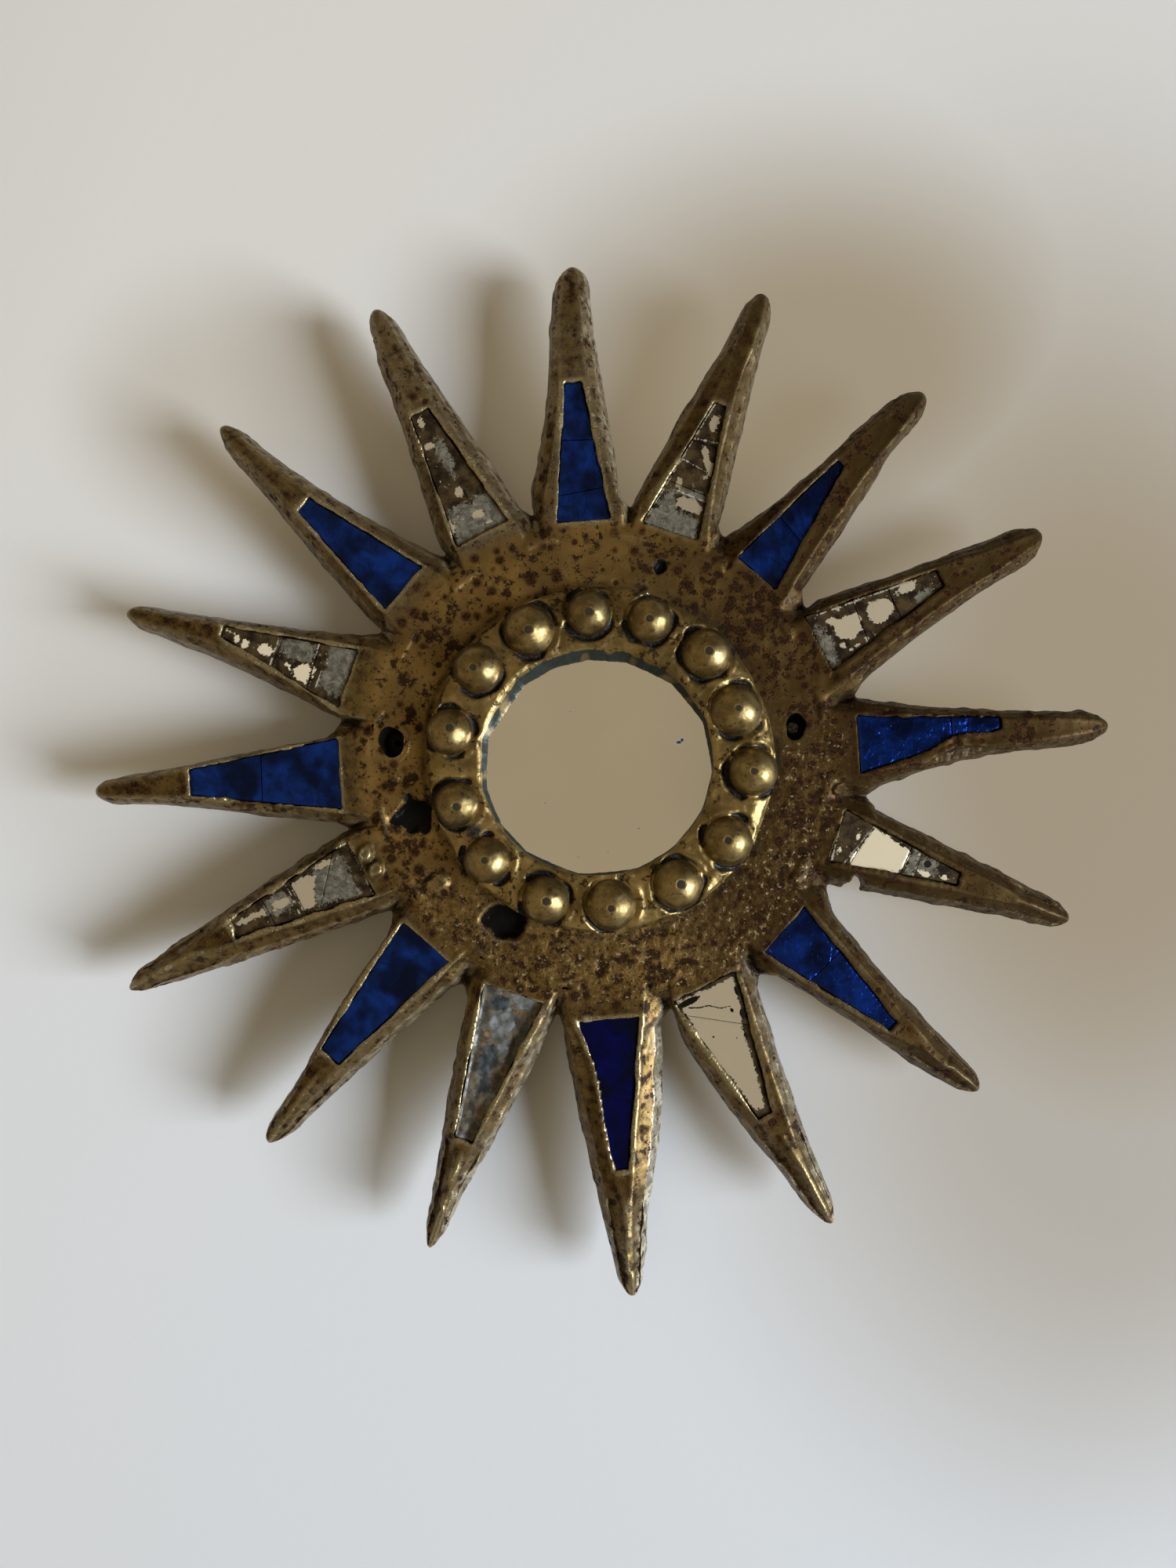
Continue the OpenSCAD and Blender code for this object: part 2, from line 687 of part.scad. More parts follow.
felt_pad();
backing_disc();
hub();
mirror_cement();
mirror_glass();
collar();
collar_beads();
fixing_nail();
hanging_plate();
hanging_screws();
inlay_cement();
ray(0);  // ray_01
ray(1);  // ray_02
ray(2);  // ray_03
ray(3);  // ray_04
ray(4);  // ray_05
ray(5);  // ray_06
ray(6);  // ray_07
ray(7);  // ray_08
ray(8);  // ray_09
ray(9);  // ray_10
ray(10);  // ray_11
ray(11);  // ray_12
ray(12);  // ray_13
ray(13);  // ray_14
ray(14);  // ray_15
ray(15);  // ray_16
inlay(0);  // blue_glass_01
inlay(1);  // silver_glass_02
inlay(2);  // blue_glass_03
inlay(3);  // silver_glass_04
inlay(4);  // blue_glass_05
inlay(5);  // silver_glass_06
inlay(6);  // blue_glass_07
inlay(7);  // silver_glass_08
inlay(8);  // blue_glass_09
inlay(10);  // blue_glass_11
inlay(11);  // silver_glass_12
inlay(12);  // blue_glass_13
inlay(13);  // silver_glass_14
inlay(14);  // blue_glass_15
inlay(15);  // silver_glass_16
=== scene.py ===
# %% [markdown]
# # A sunburst wall mirror
# A small round mirror sits in a beaded collar on a gilded hub with sixteen rays.
# The cast body was made by hand, gilded and left to tarnish, and each ray holds a
# wedge of glass: blue foil-backed glass in every other one, old silvered glass in
# the rest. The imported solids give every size. This file dresses them.

# %% The frame
import itertools
import math

import bmesh
import bpy
import numpy as np
from mathutils import Matrix, Vector


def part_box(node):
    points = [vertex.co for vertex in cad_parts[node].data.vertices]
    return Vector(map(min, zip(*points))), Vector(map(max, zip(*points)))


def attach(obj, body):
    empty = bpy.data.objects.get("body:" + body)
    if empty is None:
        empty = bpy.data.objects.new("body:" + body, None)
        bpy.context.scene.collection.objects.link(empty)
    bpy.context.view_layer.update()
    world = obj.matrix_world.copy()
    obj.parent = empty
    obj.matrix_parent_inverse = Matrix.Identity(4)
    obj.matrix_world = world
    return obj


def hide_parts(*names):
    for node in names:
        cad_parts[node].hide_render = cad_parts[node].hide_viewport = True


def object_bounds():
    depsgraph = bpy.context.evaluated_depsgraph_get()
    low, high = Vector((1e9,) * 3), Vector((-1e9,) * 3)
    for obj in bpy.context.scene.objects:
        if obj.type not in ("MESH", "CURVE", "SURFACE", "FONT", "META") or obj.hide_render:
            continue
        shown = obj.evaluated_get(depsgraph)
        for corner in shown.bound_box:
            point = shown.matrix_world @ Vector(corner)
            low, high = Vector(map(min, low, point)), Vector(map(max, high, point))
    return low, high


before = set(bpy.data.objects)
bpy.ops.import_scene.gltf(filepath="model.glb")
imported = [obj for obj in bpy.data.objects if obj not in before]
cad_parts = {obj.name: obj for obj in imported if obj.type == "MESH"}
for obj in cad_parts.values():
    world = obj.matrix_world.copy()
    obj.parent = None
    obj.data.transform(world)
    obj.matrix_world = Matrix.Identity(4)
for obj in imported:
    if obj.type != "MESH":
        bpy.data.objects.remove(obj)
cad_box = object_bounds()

RAYS = 16
FACE_Z = 19.0
print("solids in the frame:", len(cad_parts), "box", [round(v, 4) for v in cad_box[1]])

# %% [markdown]
# ## Where the eye stands
# A camera is matched to a picture by its place, its aim and its angle of view. The
# mirror was seen from 28 cm, nearly square on and turned a little, so the three
# axes of the camera are worked out from those angles and set in one matrix.

# %% The camera
AIM = Vector((0, -0.0196, 0))
DISTANCE, TURN, RISE, ROLL = 0.2816, math.radians(0.5), math.radians(-0.8), math.radians(-3.9)
FOCAL_PX, WIDE, HIGH, AIM_PX = 1502, 1500, 2000, (766, 969)
SENSOR = 36

back = Vector((math.sin(TURN) * math.cos(RISE), -math.cos(TURN) * math.cos(RISE), math.sin(RISE)))
level = Vector((0, 0, 1)).cross(back).normalized()
upright = back.cross(level)
side = math.cos(ROLL) * level + math.sin(ROLL) * upright
top = math.cos(ROLL) * upright - math.sin(ROLL) * level
shift_x = (AIM_PX[0] - WIDE / 2) * DISTANCE / FOCAL_PX
shift_y = (HIGH / 2 - AIM_PX[1]) * DISTANCE / FOCAL_PX
eye = AIM + back * DISTANCE - side * shift_x - top * shift_y

camera_data = bpy.data.cameras.new("eye")
camera_data.sensor_width = SENSOR
camera_data.lens = SENSOR * FOCAL_PX / HIGH
camera_data.clip_start = 0.01
camera = bpy.data.objects.new("eye", camera_data)
axes = Matrix((side, top, back)).transposed().to_4x4()
camera.matrix_world = Matrix.Translation(eye) @ axes
bpy.context.collection.objects.link(camera)
bpy.context.scene.camera = camera
bpy.context.scene.view_settings.view_transform = "Standard"
print("camera at", [round(v, 3) for v in eye], "lens", round(camera_data.lens, 2))

# %% [markdown]
# ## Mixing a finish
# A finish is a small net of nodes. Helpers keep the nets readable: they add a node and
# feed it, blend two colours, do sums, and make patterns whose grain is given in
# millimetres, because the object's own space is in metres.

# %% Helpers for finishes
def feed(tree, socket, value):
    if isinstance(value, bpy.types.NodeSocket):
        tree.links.new(value, socket)
    elif value is not None:
        socket.default_value = value


def add(tree, kind, inputs=(), **settings):
    made = tree.nodes.new("ShaderNode" + kind)
    for key, value in settings.items():
        setattr(made, key, value)
    for key, value in dict(inputs).items():
        feed(tree, made.inputs[key], value)
    return made


def blend(tree, share, first, second, how="MIX"):
    return add(tree, "MixRGB", {0: share, 1: first, 2: second}, blend_type=how).outputs[0]


def sums(tree, how, first, second=None, third=None, clamp=False):
    feeds = {0: first, 1: second, 2: third}
    made = add(tree, "Math", {k: v for k, v in feeds.items() if v is not None}, operation=how)
    made.use_clamp = clamp
    return made.outputs[0]


def sum_of(how):
    def made(tree, first, second, clamp=False):
        return sums(tree, how, first, second, clamp=clamp)
    return made


times, plus, minus, most = (sum_of(how) for how in ("MULTIPLY", "ADD", "SUBTRACT", "MAXIMUM"))


def place_on(tree, stretch=(1, 1, 1)):
    spot = add(tree, "TexCoord").outputs["Object"]
    return add(tree, "Mapping", {0: spot, "Scale": stretch}).outputs[0]


def grain(tree, place, size_mm, detail=2.0, rough=0.5, bend=0.0):
    inputs = {"Vector": place, "Scale": 1000 / size_mm,
              "Detail": detail, "Roughness": rough, "Distortion": bend}
    return add(tree, "TexNoise", inputs).outputs[0]


def steps(tree, value, low, high, start=0.0, end=1.0):
    """value from low to high, eased, becomes start to end."""
    inputs = {0: value, 1: low, 2: high, 3: start, 4: end}
    return add(tree, "MapRange", inputs, interpolation_type="SMOOTHSTEP").outputs[0]


OVAL_FULL, OVAL_END = 0.2, 1.08


def oval(tree, place, u, v, wide, tall):
    """A soft oval share, 1 in its middle, at a place u, v in mm as seen from the front."""
    inputs = {0: place, "Location": (-u / wide, 0, -v / tall), "Scale": (1000 / wide, 0, 1000 / tall)}
    away = add(tree, "Mapping", inputs).outputs[0]
    off = add(tree, "VectorMath", {0: away}, operation="LENGTH").outputs["Value"]
    return steps(tree, off, OVAL_FULL, OVAL_END, 1.0, 0.0)


def painted(tree, name):
    return add(tree, "Attribute", attribute_name=name).outputs["Fac"]


def new_finish(name):
    made = bpy.data.materials.new(name)
    made.use_nodes = True
    tree = made.node_tree
    tree.nodes.clear()
    out = add(tree, "OutputMaterial")
    shader = add(tree, "BsdfPrincipled")
    tree.links.new(shader.outputs[0], out.inputs[0])
    return made, tree, shader


def finish_up(tree, shader, height=None, depth_mm=0.1, **sockets):
    for key, value in sockets.items():
        feed(tree, shader.inputs[key.replace("_", " ")], value)
    if height is not None:
        inputs = {"Height": height, "Distance": depth_mm / 1000, "Strength": 1.0}
        feed(tree, shader.inputs["Normal"], add(tree, "Bump", inputs).outputs[0])


# %% [markdown]
# ## The room
# The photograph has one broad cool window low on the right and a dim, warm room in
# front. The world gives the room: its colour changes with direction, which polished
# glass shows and which fills the shadows. One large area lamp gives the window.
#
# Things out of view put soft warm shade on the wall, mostly on the right. An object
# placed there to cast it would be guesswork, so the shade is a colour of the wall
# itself: it grows darker in soft ovals and glows a little there. The camera, metal
# and glass see the wall, but it throws no light of its own on the object.
#
# The back is looked at through the wall, which is clear from behind. A bright patch of
# the world straight behind lights it. The felt comes out about as its colour is written
# and the metal comes out darker. The patch is small, so that it reaches the sides of
# the rays as little as it can.

# %% Light and wall
AHEAD, RIGHT, LEFT = (0.37, 0.3, 0.187, 1), (0.1, 0.08, 0.052, 1), (0.36, 0.3, 0.2, 1)
BESIDE_LEFT, BESIDE_RIGHT = (0.2, 0.165, 0.105, 1), (0.4, 0.36, 0.28, 1)
BEHIND = (3.0, 2.9, 2.72, 1)
PALE = (0.64, 0.63, 0.61, 1)
WINDOW_WAY = Vector((0.78, -0.54, -0.32))
WINDOW_AT, WINDOW_SIZE, WINDOW_POWER = 1.5, 0.66, 34.0
WINDOW_TONE = (0.9, 0.99, 1.1)

world = bpy.data.worlds.new("room")
bpy.context.scene.world = world
world.use_nodes = True
tree = world.node_tree
tree.nodes.clear()
way = add(tree, "SeparateXYZ", {0: add(tree, "TexCoord").outputs["Generated"]})
rightward = steps(tree, way.outputs[0], 0.04, 0.28)
ahead = blend(tree, steps(tree, way.outputs[0], -0.1, -0.5), blend(tree, rightward, AHEAD, RIGHT), LEFT)
beside = blend(tree, steps(tree, way.outputs[0], -0.3, 0.5), BESIDE_LEFT, BESIDE_RIGHT)
room = blend(tree, steps(tree, way.outputs[1], -0.2, 0.2), ahead, beside)
room = blend(tree, steps(tree, way.outputs[1], 0.86, 0.97), room, BEHIND)


def sees_backdrop(tree, behind=1.0):
    """1 for camera rays, and for glossy and transmitted rays that head behind the object."""
    path = add(tree, "LightPath").outputs
    bounced = most(tree, path["Is Glossy Ray"], path["Is Transmission Ray"])
    return most(tree, path["Is Camera Ray"], times(tree, bounced, behind))


seen = sees_backdrop(tree, steps(tree, way.outputs[1], 0.05, 0.2))
glow = add(tree, "Background", {"Color": blend(tree, seen, room, PALE), "Strength": 1.0})
tree.links.new(glow.outputs[0], add(tree, "OutputWorld").inputs[0])

lamp_data = bpy.data.lights.new("window", "AREA")
lamp_data.shape = "SQUARE"
lamp_data.size = WINDOW_SIZE
lamp_data.energy = WINDOW_POWER
lamp_data.color = WINDOW_TONE
lamp = bpy.data.objects.new("window", lamp_data)
lamp.location = WINDOW_WAY.normalized() * WINDOW_AT
lamp.rotation_mode = "QUATERNION"
lamp.rotation_quaternion = WINDOW_WAY.to_track_quat("Z", "Y")
bpy.context.collection.objects.link(lamp)

wall_look, tree, shader = new_finish("limewash")
place = place_on(tree)
spot = add(tree, "SeparateXYZ", {0: place})
# Painted shade: the wall is darker to the right and below, where the lamp is stronger, so that it looks
# evenly lit, and warmer and darker toward the top.
falloff_shade = sums(tree, "MULTIPLY_ADD", spot.outputs[0], 2.8,
    sums(tree, "MULTIPLY_ADD", spot.outputs[2], -1.2, 0.5), clamp=True)
cloud = blend(tree, falloff_shade, (0.81, 0.822, 0.838, 1), (0.575, 0.588, 0.605, 1))
cloud = blend(tree, steps(tree, spot.outputs[2], -0.15, 0.17), cloud, (1, 0.95, 0.88, 1), "MULTIPLY")
cloud = blend(tree, grain(tree, place, 90, 3), cloud, (1, 0.99, 0.97, 1), "MULTIPLY")

POOLS = [(128, -5, 122, 190, 1.0), (125, -95, 125, 135, 0.7), (62, 97, 112, 78, 1.0),
         (-128, 18, 46, 60, 0.25), (-92, 98, 48, 44, 0.45)]
shade = 0.0
for u, v, wide, tall, share in POOLS:
    shade = most(tree, shade, times(tree, oval(tree, place, u, v, wide, tall), share))
cloud = blend(tree, times(tree, shade, 0.92), cloud, (0, 0, 0, 1))
warmth = blend(tree, shade, (0, 0, 0, 1), (0.3, 0.24, 0.155, 1))
dust = add(tree, "TexVoronoi", {"Vector": place, "Scale": 1000 / 38}, feature="F1").outputs["Distance"]
cloud = blend(tree, steps(tree, dust, 0.012, 0.008, 0, 0.5), cloud, (0.12, 0.1, 0.08, 1))
finish_up(tree, shader, grain(tree, place, 2.5, 4), 0.03, Base_Color=cloud, Emission_Color=warmth,
    Emission_Strength=1.0, Roughness=0.85, Specular_IOR_Level=0.2)
front = minus(tree, 1.0, add(tree, "NewGeometry").outputs["Backfacing"])
shows = times(tree, sees_backdrop(tree), front)
clear = add(tree, "BsdfTransparent")
mixed = add(tree, "MixShader", {0: shows, 1: clear.outputs[0], 2: shader.outputs[0]})
tree.links.new(mixed.outputs[0], next(n for n in tree.nodes if n.type == "OUTPUT_MATERIAL").inputs[0])

WALL_HALF, WALL_GAP = 2.0, 0.0004
wall_mesh = bpy.data.meshes.new("wall")
corners = [(-1, -1), (1, -1), (1, 1), (-1, 1)]
wall_mesh.from_pydata([(x * WALL_HALF, WALL_GAP, z * WALL_HALF) for x, z in corners], [], [(0, 1, 2, 3)])
wall_mesh.materials.append(wall_look)
wall = bpy.data.objects.new("wall", wall_mesh)
bpy.context.collection.objects.link(wall)
print("window", round(WINDOW_POWER, 1), "W at", WINDOW_AT, "m")

# %% [markdown]
# ## Working on points as numbers
# Sculpting in code is quickest on arrays of points. They are kept in millimetres as
# right, up and out of the wall, and go back to metres at the end. Lumps come from
# seeded gradient noise, so that every run makes the same casting.

# %% Points, noise and meshes
def to_mm(metres):
    return np.c_[metres[:, 0], metres[:, 2], -metres[:, 1]] * 1000


def to_metres(points):
    return np.c_[points[:, 0], -points[:, 2], points[:, 1]] / 1000


def away_from(points, centre=(0, 0)):
    """Distance in mm from a place on the wall's plane."""
    return np.hypot(points[:, 0] - centre[0], points[:, 1] - centre[1])


def ease(value, low, high):
    share = np.clip((value - low) / (high - low), 0, 1)
    return share * share * (3 - 2 * share)


PRIMES = (73856093, 19349663, 83492791)


def lumps(points, size, seed, stretch=(1, 1, 1)):
    """Smooth seeded noise from about -1 to 1, with lumps about size mm wide."""
    arrows = np.random.default_rng(seed).normal(size=(256, 3))
    arrows /= np.linalg.norm(arrows, axis=1)[:, None]
    scaled = points / (np.array(stretch) * size)
    cell = np.floor(scaled).astype(np.int64)
    part = scaled - cell
    fade = part ** 3 * (part * (part * 6 - 15) + 10)
    total = np.zeros(len(points))
    for corner in itertools.product((0, 1), repeat=3):
        at = cell + corner
        key = (at[:, 0] * PRIMES[0]) ^ (at[:, 1] * PRIMES[1]) ^ (at[:, 2] * PRIMES[2])
        key = (key ^ (key >> 11)) & 255
        weight = np.prod(np.where(corner, fade, 1 - fade), axis=1)
        total += weight * np.einsum("ij,ij->i", arrows[key], part - corner)
    return total * 1.7


def mesh_from(name, points, faces, **paint):
    """A mesh from points in mm and rows of corner numbers, with values painted on its points."""
    mesh = bpy.data.meshes.new(name)
    faces = [np.asarray(f, np.int32) for f in faces]
    rows = np.concatenate([f.ravel() for f in faces])
    sizes = np.concatenate([np.full(len(f), f.shape[1], np.int32) for f in faces])
    mesh.vertices.add(len(points))
    mesh.vertices.foreach_set("co", to_metres(points).ravel())
    mesh.loops.add(len(rows))
    mesh.loops.foreach_set("vertex_index", rows)
    mesh.polygons.add(len(sizes))
    mesh.polygons.foreach_set("loop_start", np.r_[0, np.cumsum(sizes)[:-1]].astype(np.int32))
    mesh.update(calc_edges=True)
    mesh.polygons.foreach_set("use_smooth", np.ones(len(sizes), bool))
    for key, values in paint.items():
        layer = mesh.attributes.new(key, "FLOAT", "POINT")
        layer.data.foreach_set("value", np.asarray(values, np.float32))
    return mesh


def turned_out(mesh):
    """Turns every face of a closed mesh outward."""
    bm = bmesh.new()
    bm.from_mesh(mesh)
    bmesh.ops.recalc_face_normals(bm, faces=bm.faces)
    bm.to_mesh(mesh)
    bm.free()


def lathe_faces(grid):
    """Faces of a turned shape whose points lie in rings, closed at both ends."""
    on = np.roll(grid, -1, 1)
    walls = np.stack([grid[:-1], grid[1:], on[1:], on[:-1]], -1).reshape(-1, 4)
    return [walls, grid[0][::-1][None, :], grid[-1][None, :]]


def show(name, mesh, finish, node, sharp=None):
    """Makes the mesh a piece of the object, in place of the CAD node it stands for."""
    if sharp:
        mesh.set_sharp_from_angle(angle=math.radians(sharp))
    made = bpy.data.objects.new(name, mesh)
    mesh.materials.clear()
    mesh.materials.append(finish)
    bpy.context.collection.objects.link(made)
    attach(made, "root")
    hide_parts(node)


def islands(node):
    """The separate solids of a CAD node, each as an array of its corners in mm."""
    bm = bmesh.new()
    bm.from_mesh(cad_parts[node].data)
    bmesh.ops.remove_doubles(bm, verts=bm.verts, dist=1e-6)
    left, found = set(bm.verts), []
    while left:
        todo, group = [left.pop()], []
        while todo:
            vert = todo.pop()
            group.append(vert.co[:])
            fresh = {e.other_vert(vert) for e in vert.link_edges} & left
            left -= fresh
            todo += fresh
        found.append(to_mm(np.array(group)))
    bm.free()
    return found


def bearing_axes(ray):
    """Across and along directions of a ray, counted from 0 at the top and clockwise."""
    angle = 2 * math.pi * ray / RAYS
    return np.array([math.cos(angle), -math.sin(angle)]), np.array([math.sin(angle), math.cos(angle)])


def on_ray(points, ray):
    across, along = bearing_axes(ray)
    return points[:, :2] @ across, points[:, :2] @ along


print("helpers ready; noise of a test point:", lumps(np.array([[1.2, 3.4, 5.6]]), 4, 1).round(3))

# %% [markdown]
# ## The cast body
# On the real object the hub and the rays were filled and gilded over as one, so no
# seam shows and every edge is soft. The CAD solids are crisp and separate. A voxel
# remesh of all seventeen together melts them into one skin, which is then worked
# like clay. A cloth or bevel approach would leave the joints as straight lines.

# %% One skin over the hub and rays
VOXEL = 0.42
ray_names = [f"ray_{n + 1:02d}" for n in range(RAYS)]
bm = bmesh.new()
for name in ["hub"] + ray_names:
    bm.from_mesh(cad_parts[name].data)
bmesh.ops.remove_doubles(bm, verts=bm.verts, dist=1e-6)
blank = bpy.data.meshes.new("blank")
bm.to_mesh(blank)
bm.free()
melt = bpy.data.objects.new("blank", blank)
bpy.context.collection.objects.link(melt)
mod = melt.modifiers.new("melt", "REMESH")
mod.mode = "VOXEL"
mod.voxel_size = VOXEL / 1000
fused = bpy.data.meshes.new_from_object(melt.evaluated_get(bpy.context.evaluated_depsgraph_get()))
bpy.data.objects.remove(melt)
skin = np.empty(len(fused.vertices) * 3)
fused.vertices.foreach_get("co", skin)
skin = to_mm(skin.reshape(-1, 3))
quads = np.empty(len(fused.loops), np.int32)
fused.loops.foreach_get("vertex_index", quads)
quads = quads.reshape(-1, 4)
edges = np.unique(np.sort(np.concatenate([quads[:, [k, (k + 1) % 4]] for k in range(4)]), axis=1), axis=0)
print("skin:", len(skin), "points,", len(quads), "faces")

# %% Smoothing and normals on the skin
degree = np.bincount(edges.ravel(), minlength=len(skin))


def softened(values, rounds=1):
    """Each point takes the mean of its neighbours, as many times as asked."""
    flat = values.reshape(len(values), -1)
    for _ in range(rounds):
        flat = np.stack([
            (np.bincount(edges[:, 0], col[edges[:, 1]], len(flat))
             + np.bincount(edges[:, 1], col[edges[:, 0]], len(flat))) / degree
            for col in flat.T], axis=1)
    return flat.reshape(values.shape)


def normals_of(points):
    cross = np.cross(points[quads[:, 2]] - points[quads[:, 0]], points[quads[:, 3]] - points[quads[:, 1]])
    total = np.stack([
        sum(np.bincount(quads[:, k], col, len(points)) for k in range(4)) for col in cross.T], axis=1)
    return total / np.maximum(np.linalg.norm(total, axis=1), 1e-12)[:, None]


for _ in range(2):
    skin += 0.55 * (softened(skin) - skin)
    skin -= 0.5 * (softened(skin) - skin)
facing = normals_of(skin)[:, 2]
print("facing out:", int((facing > 0.7).sum()))

# %% [markdown]
# ## Lumps, rims and holes
# The surface was modelled by hand: the sides of the rays are dented and drawn out
# along the casting's depth, the rims are beaded, the lower half of the hub is
# sandy, and small pits run over it. Each is one noise or one push along the
# normal, held to its own part by a mask.

# %% The seams between rays, and the web in each notch
HUB_CORNER = 55.5
seams = []
for ray, name in enumerate(ray_names):
    corners = np.concatenate(islands(name))
    u, q = on_ray(corners[np.abs(away_from(corners) - HUB_CORNER) < 0.2], ray)
    seams.append(2 * math.pi * ray / RAYS + np.arctan2(u, q).max())
seams = np.array(seams)
print("seams, degrees off even:", (np.degrees(seams) - (np.arange(RAYS) + 0.5) * 360 / RAYS).round(1))


def off_seam(points):
    """Distance in mm from the nearest seam, measured round the middle."""
    turn = np.arctan2(points[:, 0], points[:, 1])[:, None] - seams[None]
    turn = np.abs((turn + math.pi) % (2 * math.pi) - math.pi).min(1)
    return turn * away_from(points)


reach = away_from(skin)
in_notch = (1 - ease(off_seam(skin), 3.4, 4.4)) * (skin[:, 2] > 10.4) * ease(reach, 53, 54)
WEB_REACH, WEB_HEIGHT = [55, 57, 62.5, 64], [19.3, 18.4, 12.5, 10]
web = np.interp(reach, WEB_REACH, WEB_HEIGHT)
raised = skin[:, 2] + (web - skin[:, 2]) * in_notch
skin[:, 2] = np.where(in_notch > 0, np.maximum(skin[:, 2], raised), skin[:, 2])
near_notch = (in_notch * ease(reach, 53.5, 55) * (1 - ease(reach, 63, 66)))[:, None]
for _ in range(12):
    skin += 0.6 * near_notch * (softened(skin) - skin)
facing = normals_of(skin)[:, 2]

# %% Masks for the parts of the skin
reach = away_from(skin)
bearing = np.degrees(np.arctan2(skin[:, 0], skin[:, 1])) % 360
ray_of = np.round(bearing * RAYS / 360).astype(int) % RAYS
across, along = np.zeros(len(skin)), np.zeros(len(skin))
for ray in range(RAYS):
    mine = ray_of == ray
    across[mine], along[mine] = on_ray(skin[mine], ray)


def by_ray(table, other=0.0):
    """A value for each point of the skin from a table of rays."""
    return np.array([table.get(n, other) for n in range(RAYS)])[ray_of]


hub_part = 1 - ease(reach, 56, 61)
side_part = (1 - ease(facing, 0.45, 0.85)) * ease(skin[:, 2], 10.2, 11.5)
back_part = 1 - ease(skin[:, 2], 10.2, 11.0)
sandy = ease(-skin[:, 1] + 0.35 * skin[:, 0], 4, 24) * hub_part
ROUGH_RAYS = {4: 1.2, 8: 1.1, 11: 1.7, 5: 1.1, 9: 1.1}
rough_ray = by_ray(ROUGH_RAYS, 0.8)

# %% Pushes along the normal
normal = normals_of(skin)
push = 0.2 * lumps(skin, 11, 3)
push += (1 - hub_part) * rough_ray * (
    0.34 * lumps(skin, 4.6, 5, (1, 1, 1.7)) * (0.25 + 0.75 * side_part)
    + 0.13 * lumps(skin, 2.2, 7, (1, 1, 2.2)) * (0.25 + 0.75 * side_part))
push += hub_part * 0.1 * lumps(skin, 3.2, 9)
push += sandy * (0.06 * lumps(skin, 1.3, 11) + 0.06 * lumps(skin, 2.6, 13))
push *= (1 - 0.85 * back_part)
skin += normal * push[:, None]
crisp = skin - softened(skin, 9)
size = np.linalg.norm(crisp, axis=1)[:, None]
skin += 0.75 * crisp * np.minimum(1, 0.5 / np.maximum(size, 1e-6)) * (1 - back_part)[:, None]

# %% [markdown]
# On two rays the gold was smeared over the edge of the glass. The rim is drawn
# sideways there over a short length, so that it hangs over the glass below it.

# %% Rims smeared over the glass
SMEARS = [(8, 1, 63, 73, 92, 1.5), (8, 1, 60, 66, 71, 0.5), (8, -1, 66, 71, 76, 0.4),
          (4, 1, 76, 85, 96, 1.9), (4, -1, 64, 68, 72, 0.5)]
for ray, hand, start, middle, end, reach_over in SMEARS:
    mine = (ray_of == ray) & (across * hand > 0) & (facing > 0.2) & (skin[:, 2] > 18.2)
    share = ease(along, start, middle) * (1 - ease(along, middle, end)) * mine
    sideways = bearing_axes(ray)[0] * -hand
    skin[:, :2] += sideways * (reach_over * share)[:, None]
    skin[:, 2] += 0.3 * share * lumps(skin, 1.6, 33)

# %% [markdown]
# The bright crest beyond the glass: on the rays that point down the two rims run
# together into a single ridge, and on the others the top stays flat to the tip. The
# middle of each crest is measured on the skin itself, in slices along the ray.

# %% Crests
GLASS_END = 94.0
RIDGED = {5: (7, 14), 6: (5, 12), 7: (3, 9), 8: (8, 13), 9: (2, 7), 10: (3, 9), 11: (5, 12)}
for ray, (start, full) in RIDGED.items():
    mine = np.flatnonzero((ray_of == ray) & (along > GLASS_END - 6) & (facing > 0.75) & (skin[:, 2] > 16))
    slices = along[mine].round().astype(int)
    places = np.unique(slices)
    low = np.array([across[mine][slices == s].min() for s in places])
    high = np.array([across[mine][slices == s].max() for s in places])
    mine = np.flatnonzero((ray_of == ray) & (along > GLASS_END) & (skin[:, 2] > 14))
    middle = np.interp(along[mine], places, (low + high) / 2)
    half = np.interp(along[mine], places, np.maximum((high - low) / 2, 0.8))
    share = ease(along[mine] - GLASS_END, start, full) * ease(facing[mine], 0.2, 0.8)
    skin[mine, 2] -= 1.1 * share * np.minimum(np.abs(across[mine] - middle) / half, 1.2)

# %% [markdown]
# Two fixing holes open upward like funnels with soft, uneven mouths, and three burnt
# pits sink into the hub. A hole of the right bore is there already, so its mouth is
# only drawn outward. A pit is a smooth dent with a ragged edge.

# %% Hole mouths, pits and bumps
def draw_out(centre, bore, wide, tall, turn, depth):
    away = skin[:, :2] - centre
    far = away_from(away)
    angle = np.arctan2(away[:, 1], away[:, 0]) - math.radians(turn)
    mouth = wide * tall / np.hypot(tall * np.cos(angle), wide * np.sin(angle))
    mouth = mouth * (1 + 0.05 * np.sin(3 * angle + 1) + 0.03 * np.sin(5 * angle))
    fall = ease(skin[:, 2], FACE_Z - depth, FACE_Z - 0.4) * (1 - ease(far, bore + 0.3, bore + 4.2))
    skin[:, :2] += away / np.maximum(far, 0.1)[:, None] * ((mouth - bore) * fall)[:, None]


def dent(centre, radius, depth, stretch, turn, ragged):
    away = skin[:, :2] - centre
    c, s = math.cos(math.radians(turn)), math.sin(math.radians(turn))
    far = np.hypot((away[:, 0] * c + away[:, 1] * s) / stretch, away[:, 1] * c - away[:, 0] * s)
    far = far + ragged * radius * lumps(skin, radius * 0.9, 31)
    share = (1 - ease(far, radius * 0.55, radius * 1.1)) * (skin[:, 2] > 14)
    skin[:, 2] -= depth * share
    return share


